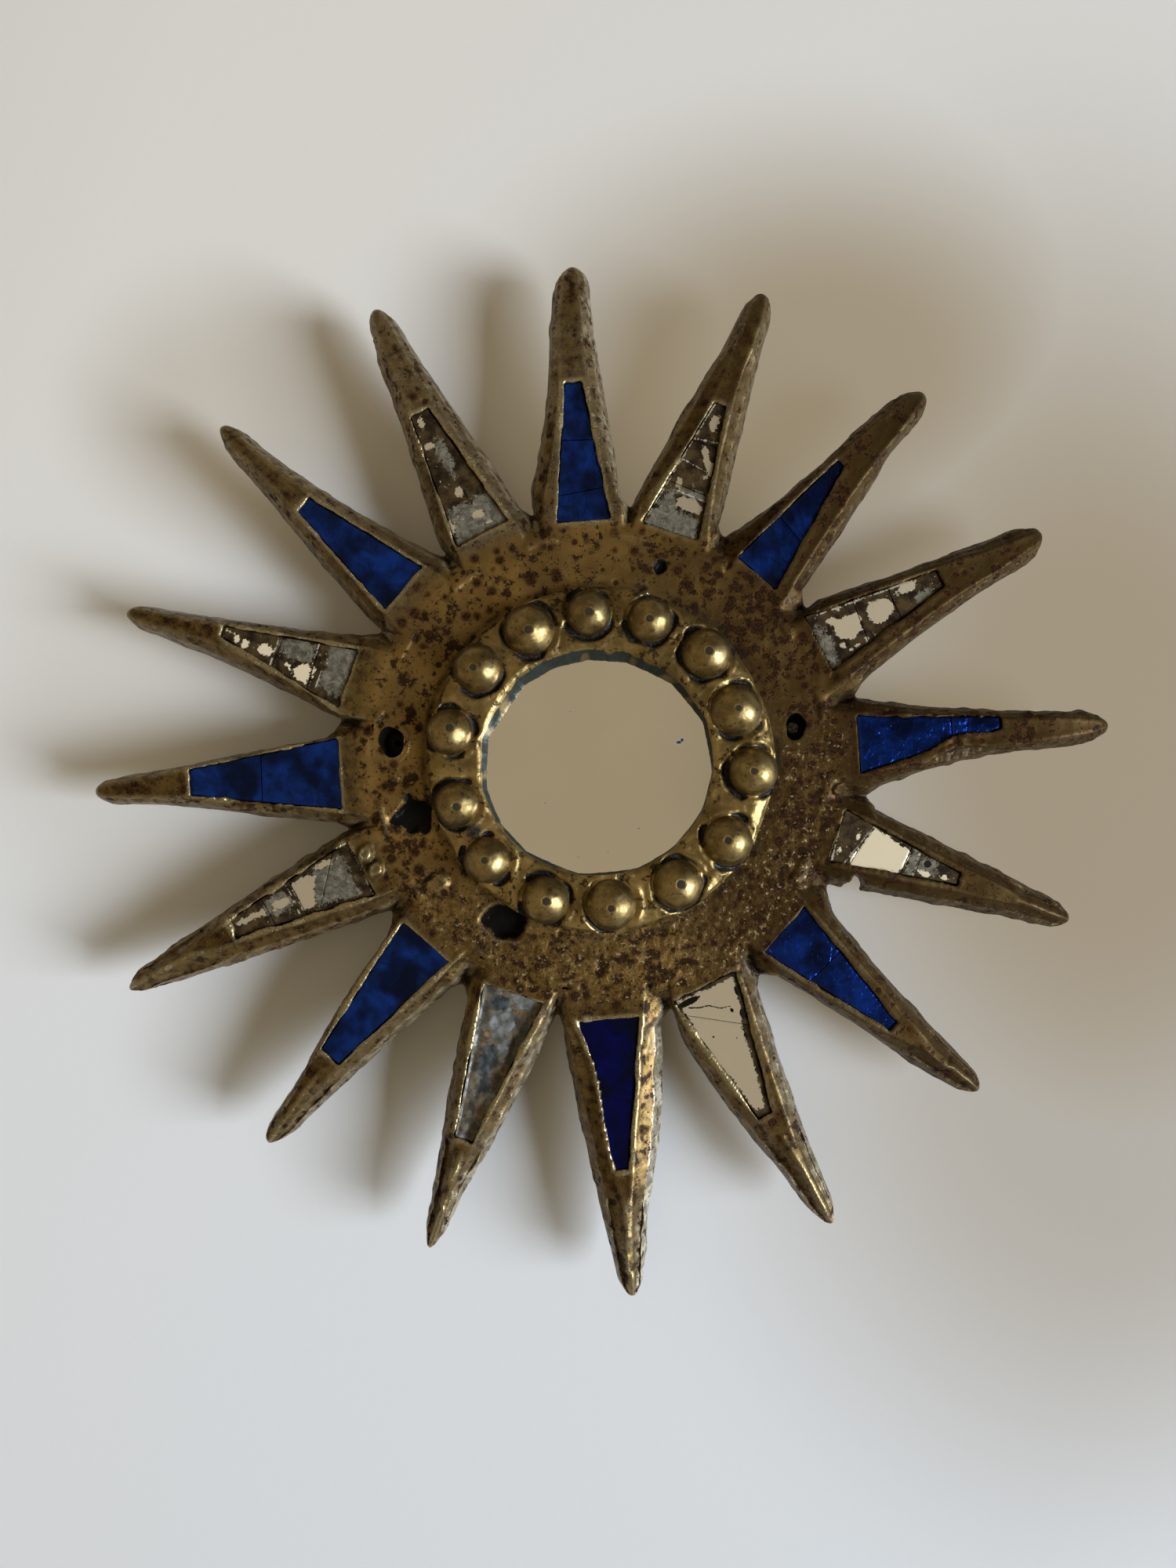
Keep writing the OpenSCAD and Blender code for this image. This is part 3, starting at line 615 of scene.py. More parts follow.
OPEN_HOLE, NAILED_HOLE = (-49.81, 7.71), (47.17, 4.71)
HOLES, BORE = (OPEN_HOLE, NAILED_HOLE), 2.4
draw_out(OPEN_HOLE, BORE, 3.0, 3.8, 15, 5)
draw_out(NAILED_HOLE, BORE, 2.5, 3.4, -8, 3)
for hole in HOLES:
    far = away_from(skin, hole)
    level = np.median(skin[(far > 5.5) & (far < 7) & (facing > 0.8) & (skin[:, 2] > 17), 2])
    ridge = (far < 6.5) & (skin[:, 2] > level)
    skin[ridge, 2] -= ((skin[:, 2] - level) * (1 - ease(far, 4.8, 6.5)))[ridge]
burnt_and_hole_shade = np.zeros(len(skin))
BURNT = [((-45.5, -9.8), 4.6, 1.8, 1.2, 20), ((-25.8, -36.6), 4.9, 2.8, 1.05, 10),
         ((17.4, 45.2), 1.5, 1.0, 1.2, 50)]
for centre, radius, depth, stretch, turn in BURNT:
    burnt_and_hole_shade = np.maximum(burnt_and_hole_shade, dent(centre, radius, depth, stretch, turn, 0.45))
# Painted shade: the walls of both holes are marked black like the pits.
for hole in HOLES:
    inside = away_from(skin, hole) < 5
    burnt_and_hole_shade = np.maximum(burnt_and_hole_shade, inside * (1 - ease(skin[:, 2], 18.2, 18.95)) * (skin[:, 2] > 10.5))
SWELLINGS = [((-57.6, -18.6), 1.9, -1.3, 1.4, 70), ((-55.4, -22.6), 1.9, -1.1, 1.3, 60),
             ((-41.0, -27.0), 2.6, -0.8, 1.3, 30), ((56.5, -11.0), 1.6, -0.8, 1.2, 0),
             ((-49.8, -1.0), 1.5, -0.3, 1.0, 0)]
for centre, radius, depth, stretch, turn in SWELLINGS:
    dent(centre, radius, depth, stretch, turn, 0.15)

PIT_COUNT = 420
rng = np.random.default_rng(41)
pitted = np.zeros(len(skin))
front = np.flatnonzero((skin[:, 2] > 15) & (facing > 0.5))
for _ in range(PIT_COUNT):
    centre = skin[rng.choice(front), :2]
    if rng.random() > 0.35 + 0.65 * (centre[1] < -20) and np.hypot(*centre) > 56:
        continue
    radius = 0.35 + 1.1 * rng.random() ** 3
    near = front[np.hypot(*(skin[front, :2] - centre).T) < radius * 1.4]
    share = 1 - ease(np.hypot(*(skin[near, :2] - centre).T), radius * 0.3, radius * 1.2)
    skin[near, 2] -= 0.22 * radius * share
    pitted[near] = np.maximum(pitted[near], share)
print("pits:", PIT_COUNT, "burnt points:", int((burnt_and_hole_shade > 0.5).sum()))

# %% [markdown]
# ## Painting by shape
# Gilding wears off where hands and cloths touch it and dirt stays in the hollows.
# How far a point stands out from the mean of its neighbourhood gives both: standing
# out is worn and bright, lying deep is dark, as dirt and painted shade. A painted
# shadow line also runs round the foot of the collar. The values are painted on the
# points for the finish to read.
#
# The right half is browner, partly from brown wax and partly from shade; how much of
# each can't be told from one picture. Both are painted here as one brown, called
# shade and wax.

# %% Wear and dirt
BOX_MM = to_mm(np.array([cad_box[0][:], cad_box[1][:]]))
SPARE = 0.02
skin = np.clip(skin, np.minimum(*BOX_MM) + SPARE, np.maximum(*BOX_MM) - SPARE)
normal = normals_of(skin)
fine = softened(np.einsum("ij,ij->i", skin - softened(skin, 3), normal), 1)
broad = softened(np.einsum("ij,ij->i", skin - softened(skin, 16), normal), 2)
worn = np.clip(fine * 6 + broad * 0.9 - 0.35, 0, 1)
# Dark in the hollows, as dirt and painted shade.
dirt_and_shade = np.clip(-fine * 5 - broad * 1.1 - 0.12, 0, 1)
# Painted shade and brown wax: the right side, the sandy lower hub and two rays on the right are painted
# browner.
lean = np.cos(np.radians(bearing - 88))
shade_and_wax = 0.8 * ease(lean, 0.05, 0.8) + 0.2 * sandy + 0.12 * lumps(skin, 7, 55)
calm = ease(np.minimum(*(away_from(skin, hole) for hole in HOLES)), 3.6, 5.8)
shade_and_wax = np.clip(shade_and_wax, 0, 0.85) * (1 - 0.1 * side_part)
DEEPER = {3: 0.06, 4: 0.1}
shade_and_wax += by_ray(DEEPER) * (1 - hub_part)
# No wear near the burnt pits, nor where the shade and wax are painted.
worn *= (1 - np.clip(4 * softened(burnt_and_hole_shade, 8), 0, 1)) * np.clip(1 - 1.15 * shade_and_wax, 0, 1)
worn *= 0.15 + 0.85 * calm
dirt_and_shade *= calm
# Painted shadow: a dark line on the hub at the foot of the collar.
collar_foot = np.exp(-((reach - 42.6) / 0.7) ** 2) * (0.6 + 0.8 * lumps(skin, 5, 53)) * (facing > 0.5)
dirt_and_shade = np.clip(np.maximum(dirt_and_shade, collar_foot), 0, 1)
print("worn", worn.mean().round(3), "dirt_and_shade", dirt_and_shade.mean().round(3))

STAINS = [
    (38, 32, 14, 1.0), (44, 20, 9, 0.9), (50, 10, 6, 0.5), (30, 44, 8, 0.7), (18, 47, 6, 0.8),
    (-10, 50, 7, 0.6), (-37, 33, 7, 0.8), (-45, 22, 6, 0.7), (-50, -1, 6, 0.8), (-46, -11, 8, 1.0),
    (-44, 14, 5, 0.6), (-28, -37, 7, 0.9), (50, -16, 9, 0.9), (46, -28, 9, 0.8), (38, -38, 10, 0.7),
    (8, -50, 12, 0.7), (-12, -48, 9, 0.6), (-46, -26, 8, 0.7), (0, 57, 7, 0.5), (24, 40, 5, 0.9),
    (56, 0, 4, 0.7), (-20, 44, 6, 0.3), (-52, 14, 5, 0.5), (54, 22, 6, 0.6)]
stain = np.zeros(len(skin))
for u, v, radius, strength in STAINS:
    stain = np.maximum(stain, strength * np.exp(-(away_from(skin, (u, v)) / radius) ** 2))
spotty = np.where(np.isin(ray_of, (2, 3, 4)), 0.85, 0.5)
stain = np.maximum(stain, spotty * (1 - hub_part) * ease(lumps(skin, 9, 51), -0.3, 0.6))

# %% [markdown]
# ## The gilding
# Old imitation gold: a metal leaf or powder under brown wax. Most of its light comes
# back as from metal and the rest as from paint. Fine noise at three sizes breaks it into
# ochre, olive and brown. Speckled stains follow the painted mask, sides are greyer,
# and worn edges are pale and smoother.

# %% Gilt finish
gilt, tree, shader = new_finish("old_gilt")
place = place_on(tree)
broad_noise, mid_noise = grain(tree, place, 12, 3), grain(tree, place, 2.6, 6, 0.64)
fine_noise = grain(tree, place, 0.45, 3, 0.6)
drawn = grain(tree, place_on(tree, (1, 0.3, 1)), 2.4, 3, 0.55)
OCHRE, OLIVE = (0.265, 0.158, 0.047, 1), (0.17, 0.103, 0.033, 1)
BROWN, DARK = (0.025, 0.012, 0.004, 1), (0.012, 0.007, 0.004, 1)
SPOT_DARK, SPOT_WARM = (0.006, 0.002, 0.0005, 1), (0.04, 0.016, 0.003, 1)
RAY_TONE, RAY_DARK = (0.14, 0.088, 0.027, 1), (0.062, 0.038, 0.014, 1)
SIDE_PALE, SIDE_DARK = (0.25, 0.19, 0.1, 1), (0.085, 0.056, 0.024, 1)
PALE_GOLD, RED_BROWN, LIME_AND_LIT_PALE = (0.48, 0.39, 0.21, 1), (0.07, 0.027, 0.008, 1), (0.66, 0.6, 0.46, 1)
side_mask, top_mask, age = painted(tree, "side"), painted(tree, "top"), painted(tree, "stain")
tone = blend(tree, steps(tree, broad_noise, 0.35, 0.65), OLIVE, OCHRE)
tone = blend(tree, steps(tree, mid_noise, 0.4, 0.6, 0, 0.4), tone, OLIVE)
ray_tone = blend(tree, steps(tree, mid_noise, 0.38, 0.6), RAY_TONE, RAY_DARK)
tone = blend(tree, top_mask, tone, ray_tone)
side_tone = blend(tree, steps(tree, drawn, 0.32, 0.68), SIDE_PALE, SIDE_DARK)
tone = blend(tree, times(tree, side_mask, 0.9), tone, side_tone)
# Pale lime, and painted light on the sides that face the window.
tone = blend(tree, times(tree, painted(tree, "lime_and_lit_sides"), steps(tree, drawn, 0.4, 0.55, 1, 0.35)), tone, LIME_AND_LIT_PALE)
# Painted shade and wax: the browner right side and lower hub.
tone = blend(tree, painted(tree, "shade_and_wax"), tone,
    blend(tree, mid_noise, (0.018, 0.009, 0.003, 1), (0.066, 0.038, 0.01, 1)))
stained = plus(tree, mid_noise, times(tree, age, 0.13))
tone = blend(tree, steps(tree, stained, 0.55, 0.62, 0, 0.5), tone, RED_BROWN)
blotch = steps(tree, stained, 0.6, 0.64)
ripple = add(tree, "TexNoise", {"Vector": place, "Scale": 900.0, "Detail": 3.0}).outputs[1]
bent = add(tree, "VectorMath", {0: ripple, "Scale": 0.0007}, operation="SCALE").outputs[0]
bent_place = add(tree, "VectorMath", {0: place, 1: bent}).outputs[0]
cells = add(tree, "TexVoronoi", {"Vector": bent_place, "Scale": 1000 / 3.2}, feature="F1")
chance = add(tree, "SeparateColor", {0: cells.outputs["Color"]})
spread = plus(tree, times(tree, age, 0.6), 0.22)
here = sums(tree, "LESS_THAN", chance.outputs[1], spread)
wide = plus(tree, times(tree, chance.outputs[0], 0.28), 0.12)
near = minus(tree, wide, cells.outputs["Distance"])
plain_part = plus(tree, painted(tree, "lime_and_lit_sides"), times(tree, side_mask, 0.55))
here = times(tree, here, minus(tree, 1.0, plain_part, clamp=True))
dot = times(tree, here, steps(tree, near, -0.02, 0.08))
tone = blend(tree, times(tree, here, steps(tree, near, -0.2, 0.0, 0, 0.7)), tone, RED_BROWN)
fine_dot = steps(tree, plus(tree, grain(tree, place, 0.8, 2), times(tree, age, 0.05)), 0.66, 0.68)
blotch = most(tree, most(tree, blotch, dot), fine_dot)
tone = blend(tree, times(tree, blotch, 0.93), tone,
    blend(tree, steps(tree, fine_noise, 0.42, 0.62), SPOT_DARK, SPOT_WARM))
tone = blend(tree, steps(tree, painted(tree, "pitted"), 0.3, 0.8, 0, 0.85), tone, BROWN)
# Dirt and painted shade darken the hollows and the foot of the collar.
hollow_dirt_and_shade = times(tree, painted(tree, "dirt_and_shade"), steps(tree, mid_noise, 0.3, 0.6, 0.5, 1.3), clamp=True)
tone = blend(tree, times(tree, hollow_dirt_and_shade, 0.8), tone, DARK)
speckle = grain(tree, place, 1.1, 6, 0.68)
gritty = times(tree, painted(tree, "grit"), steps(tree, speckle, 0.52, 0.36, 0, 0.6))
tone = blend(tree, gritty, tone, BROWN)
rubbed = times(tree, painted(tree, "worn"), steps(tree, fine_noise, 0.3, 0.55, 0.25, 1.0), clamp=True)
# Pale specks on the sandy part: exposed gold and painted glints.
specks_and_glints = times(tree, painted(tree, "grit"), steps(tree, speckle, 0.58, 0.66, 0, 0.6))
tone = blend(tree, most(tree, times(tree, rubbed, 0.55), specks_and_glints), tone, PALE_GOLD)
# Black in the burnt pits, and painted shade down the walls of the holes.
charred_and_hole_shade = times(tree, painted(tree, "burnt_and_hole_shade"), steps(tree, mid_noise, 0.35, 0.65, 0.5, 1.7))
charred_and_hole_shade = steps(tree, charred_and_hole_shade, 0.1, 0.32)
tone = blend(tree, charred_and_hole_shade, tone, (0.004, 0.003, 0.002, 1))
marks = plus(tree, blotch, hollow_dirt_and_shade, clamp=True)
metal = minus(tree, 0.8, times(tree, marks, 0.55))
metal = minus(tree, metal, times(tree, side_mask, 0.3))
metal = minus(tree, metal, charred_and_hole_shade, clamp=True)
matt = plus(tree, 0.4, times(tree, marks, 0.15))
matt = minus(tree, matt, times(tree, rubbed, 0.15))
matt = plus(tree, matt, times(tree, painted(tree, "shade_and_wax"), 0.18))
matt = plus(tree, matt, times(tree, charred_and_hole_shade, 0.4), clamp=True)
grit = steps(tree, painted(tree, "grit"), 0, 1, 0.1, 0.42)
bump = plus(tree, times(tree, mid_noise, steps(tree, side_mask, 0, 1, 0.3, 0.6)),
    times(tree, fine_noise, grit))
bump = minus(tree, bump, times(tree, blotch, 0.15))
finish_up(tree, shader, bump, 0.3, Base_Color=tone, Metallic=metal, Roughness=matt,
          Specular_IOR_Level=0.08, Coat_Weight=0.05, Coat_Roughness=0.28)

# %% [markdown]
# ## Cutting the skin back into pieces
# The casting is sold as one, but the model keeps every ray a piece of its own. Each
# one is cut from the skin by the flat side of the hub and by the two seams to its
# neighbours. The cuts are closed, and the normals of the whole skin are kept on the
# pieces, so no seam shows.

# %% Cutting
HUB_FLAT, HUB_REACH, RAY_FROM, RAY_HALF_TURN = 54.2, 60, 50, 16
# Pale lime on some ray tops, and a painted highlight on the ray sides that face the window.
LIT_SIDES_PALE = {0: 0.35, 1: 0.1, 7: 0.6, 8: 1.0, 9: 0.5, 10: 0.2, 15: 0.2}
LIMED_TOPS = {0: 0.08, 14: 0.04, 15: 0.13}
lime_and_lit_sides = by_ray(LIT_SIDES_PALE) * side_part * ease(normal[:, 0], 0.1, 0.5)
lime_and_lit_sides = np.maximum(lime_and_lit_sides, by_ray(LIMED_TOPS)) * (1 - hub_part)
paint = dict(shade_and_wax=shade_and_wax, lime_and_lit_sides=lime_and_lit_sides, side=side_part, top=(1 - hub_part) * (1 - side_part), stain=stain,
             pitted=pitted, dirt_and_shade=dirt_and_shade, worn=worn, burnt_and_hole_shade=burnt_and_hole_shade, grit=np.maximum(sandy, 0.7 * side_part))


def cut_out(name, chosen, planes):
    faces = quads[chosen]
    used, inverse = np.unique(faces.ravel(), return_inverse=True)
    mesh = mesh_from(name, skin[used], [inverse.reshape(-1, 4)], **{k: v[used] for k, v in paint.items()})
    kept = mesh.attributes.new("skin_normal", "FLOAT_VECTOR", "POINT")
    kept.data.foreach_set("vector", (to_metres(normal[used]) * 1000).astype(np.float32).ravel())
    bm = bmesh.new()
    bm.from_mesh(mesh)
    for spot, way in planes:
        geometry = bm.verts[:] + bm.edges[:] + bm.faces[:]
        cut = bmesh.ops.bisect_plane(
            bm, geom=geometry, dist=1e-7, plane_co=spot, plane_no=way, clear_outer=True)
        rim = [e for e in cut["geom_cut"] if isinstance(e, bmesh.types.BMEdge) and len(e.link_faces) == 1]
        bmesh.ops.triangle_fill(bm, use_beauty=True, use_dissolve=False, edges=rim)
    bm.normal_update()
    bm.to_mesh(mesh)
    bm.free()
    mesh.polygons.foreach_set("use_smooth", np.ones(len(mesh.polygons), bool))
    held = np.empty(len(mesh.vertices) * 3, np.float32)
    mesh.attributes["skin_normal"].data.foreach_get("vector", held)
    mesh.attributes.remove(mesh.attributes["skin_normal"])
    mesh.normals_split_custom_set_from_vertices(held.reshape(-1, 3).tolist())
    return mesh


def plane(angle, at_mm):
    way = Vector((math.sin(angle), 0, math.cos(angle)))
    return way * (at_mm / 1000), way


centres = skin[quads].mean(1)
far = away_from(centres)
turn = np.degrees(np.arctan2(centres[:, 0], centres[:, 1]))
hub_planes = [plane(2 * math.pi * n / RAYS, HUB_FLAT) for n in range(RAYS)]
hub_mesh = cut_out("gilt_hub", far < HUB_REACH, hub_planes)
show("gilt_hub", hub_mesh, gilt, "hub")
total = len(hub_mesh.polygons)
for ray in range(RAYS):
    angle = 2 * math.pi * ray / RAYS
    off = (turn - math.degrees(angle) + 180) % 360 - 180
    spot, way = hub_planes[ray]
    planes = [(spot, -way)]
    for sign, seam in ((-1, seams[ray - 1]), (1, seams[ray])):
        planes.append((Vector(), Vector((math.cos(seam), 0, -math.sin(seam))) * sign))
    mesh = cut_out(f"gilt_{ray_names[ray]}", (np.abs(off) < RAY_HALF_TURN) & (far > RAY_FROM), planes)
    total += len(mesh.polygons)
    show(f"gilt_{ray_names[ray]}", mesh, gilt, ray_names[ray])
print("faces in the gilt pieces:", total)

# %% [markdown]
# ## Slabs of glass and beds of cement
# A wedge of glass has cracked across into a few flat pieces. Each CAD solid is a
# four-sided slab, so its top is rebuilt as a fine grid between the same corners,
# with rubbed edges, a slight tilt and a little waviness that real foil glass has.

# %% A slab from four corners
def cells_along(cell, *sides):
    """How many cells the longest side takes, and at least three."""
    return max(3, int(max(np.linalg.norm(side) for side in sides) / cell))


def slab(corners, top_z, low_z, cell, height):
    """corners: near left, near right, far left, far right, in mm on the wall plane."""
    near_left, near_right, far_left, far_right = corners
    wide = cells_along(cell, near_right - near_left, far_right - far_left)
    long = cells_along(cell, far_left - near_left, far_right - near_right)
    s = np.r_[0, np.linspace(0.12 / wide, 1 - 0.12 / wide, wide - 1), 1]
    t = np.r_[0, np.linspace(0.12 / long, 1 - 0.12 / long, long - 1), 1]
    s, t = (a.ravel() for a in np.meshgrid(s, t))
    low = near_left + (near_right - near_left) * s[:, None]
    high = far_left + (far_right - far_left) * s[:, None]
    flat = low + (high - low) * t[:, None]
    rim = np.minimum(np.minimum(s, 1 - s) * wide, np.minimum(t, 1 - t) * long) * cell
    points = np.c_[flat, top_z + height(np.c_[flat, np.zeros(len(flat))], rim)]
    columns, rows = wide + 1, long + 1
    index = np.arange(columns * rows).reshape(rows, columns)
    tops = np.stack([index[:-1, :-1], index[:-1, 1:], index[1:, 1:], index[1:, :-1]], -1).reshape(-1, 4)
    loop = np.r_[index[0, :-1], index[:-1, -1], index[-1, :0:-1], index[:0:-1, 0]]
    base = len(points) + np.arange(len(loop))
    points = np.r_[points, np.c_[points[loop, :2], np.full(len(loop), low_z)]]
    walls = np.c_[np.roll(loop, -1), loop, base, np.roll(base, -1)]
    return points, [tops, walls, base[::-1][None, :]]


def joined(name, parts, paint_with=None):
    """One mesh from several slabs, with paint worked out from the joined points."""
    shift, points, faces = 0, [], []
    for some, groups in parts:
        points.append(some)
        faces += [g + shift for g in groups]
        shift += len(some)
    points = np.concatenate(points)
    return mesh_from(name, points, faces, **(paint_with(points) if paint_with else {}))


def corners_of(solid, ray):
    """The four top corners of a slab, sorted along the ray."""
    tops = solid[solid[:, 2] > solid[:, 2].max() - 0.01]
    u, q = on_ray(tops, ray)
    order = np.argsort(q)
    near, far_ones = order[:2], order[2:4]
    near, far_ones = near[np.argsort(u[near])], far_ones[np.argsort(u[far_ones])]
    return tops[np.r_[near, far_ones], :2], (solid[:, 2].max(), solid[:, 2].min())


CHIP = 0.08


def glass_top(seed, tilt, wave):
    rng = np.random.default_rng(seed)
    lean = rng.normal(size=2) * tilt

    def height(flat, rim):
        middle = flat[:, :2] - flat[:, :2].mean(0)
        drop = -CHIP * (1 - ease(rim, 0, 0.3)) * (1 + 0.8 * lumps(flat, 1.2, seed + 1))
        return drop + middle @ lean - abs(middle @ lean).max() + wave * lumps(flat, 5, seed + 2) - wave
    return height


def glass_slabs(node, cell, tilt, wave):
    """The ray that a wedge lies in, and its cracked pieces from the middle outward."""
    ray, parts = int(node[-2:]) - 1, []
    for n, solid in enumerate(sorted(islands(node), key=lambda s: on_ray(s, ray)[1].min())):
        flat, (high, low) = corners_of(solid, ray)
        parts.append(slab(flat, high, low, cell, glass_top(100 * ray + n, tilt, wave)))
    return ray, parts


# %% [markdown]
# ## Blue glass
# Clear glass over crinkled blue foil. Most of the colour is deep and dark because the
# foil mirrors the dim room, and a few folds catch the window. A coat stands for the
# glass surface; the foil under it is metal with a crumpled normal.

# %% Blue finish
def blue_finish(name, deep, bright, crumple):
    made, tree, shader = new_finish(name)
    place = place_on(tree)
    folds = add(tree, "TexVoronoi", {"Vector": place, "Scale": 1000 / 3.2}, feature="DISTANCE_TO_EDGE")
    creases = steps(tree, folds.outputs[0], 0.0, 0.12, 1, 0)
    cloud = grain(tree, place, 6, 4, 0.6, 0.6)
    tone = blend(tree, steps(tree, cloud, 0.35, 0.7), deep, bright)
    dull = steps(tree, grain(tree, place, 4, 3, 0.6, 1.0), 0.6, 0.75, 0, 0.6)
    tone = blend(tree, dull, tone, (0.006, 0.014, 0.04, 1))
    tone = blend(tree, steps(tree, grain(tree, place, 1.3, 4, 0.65), 0.52, 0.7, 0, 0.4), tone, bright)
    streaks = grain(tree, place_on(tree, (1, 1, 0.25)), 0.9, 3)
    tone = blend(tree, steps(tree, grain(tree, place, 9, 2), 0.45, 0.62, 0, 0.75), tone,
        (0.003, 0.006, 0.02, 1))
    height = plus(tree, times(tree, streaks, 0.25), grain(tree, place, 2.4, 3, 0.6, 0.8))
    some = steps(tree, grain(tree, place, 5, 2), 0.64, 0.74, 0.05, 0.4)
    height = plus(tree, height, times(tree, creases, some))
    finish_up(tree, shader, height, crumple, Base_Color=tone, Metallic=0.95, Roughness=0.24,
              Coat_Weight=0.1, Coat_Roughness=0.05, Coat_IOR=1.5)
    return made


cobalt = blue_finish("cobalt_foil", (0.006, 0.022, 0.14, 1), (0.009, 0.055, 0.45, 1), 0.25)
ultramarine = blue_finish("ultramarine_glass", (0.002, 0.003, 0.07, 1), (0.003, 0.006, 0.17, 1), 0.08)
GLASS_CELL = 0.45
for node in sorted(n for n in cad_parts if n.startswith("blue_glass")):
    ray, parts = glass_slabs(node, GLASS_CELL, 0.004, 0.03)
    finish = ultramarine if node.endswith("09") else cobalt
    show(node + "_wedge", joined(node + "_wedge", parts), finish, node, sharp=40)
print("blue wedges made")

# %% [markdown]
# ## Silvered glass
# The silver behind this glass has flaked: cream patches of it are left, with ragged
# edges, over brown backing and grey glue. The patches are listed, each as an oval or
# an outline on its ray, and how deep a point lies inside is painted on the grid.
# The finish breaks that depth up with fine noise, which gives the ragged edge.

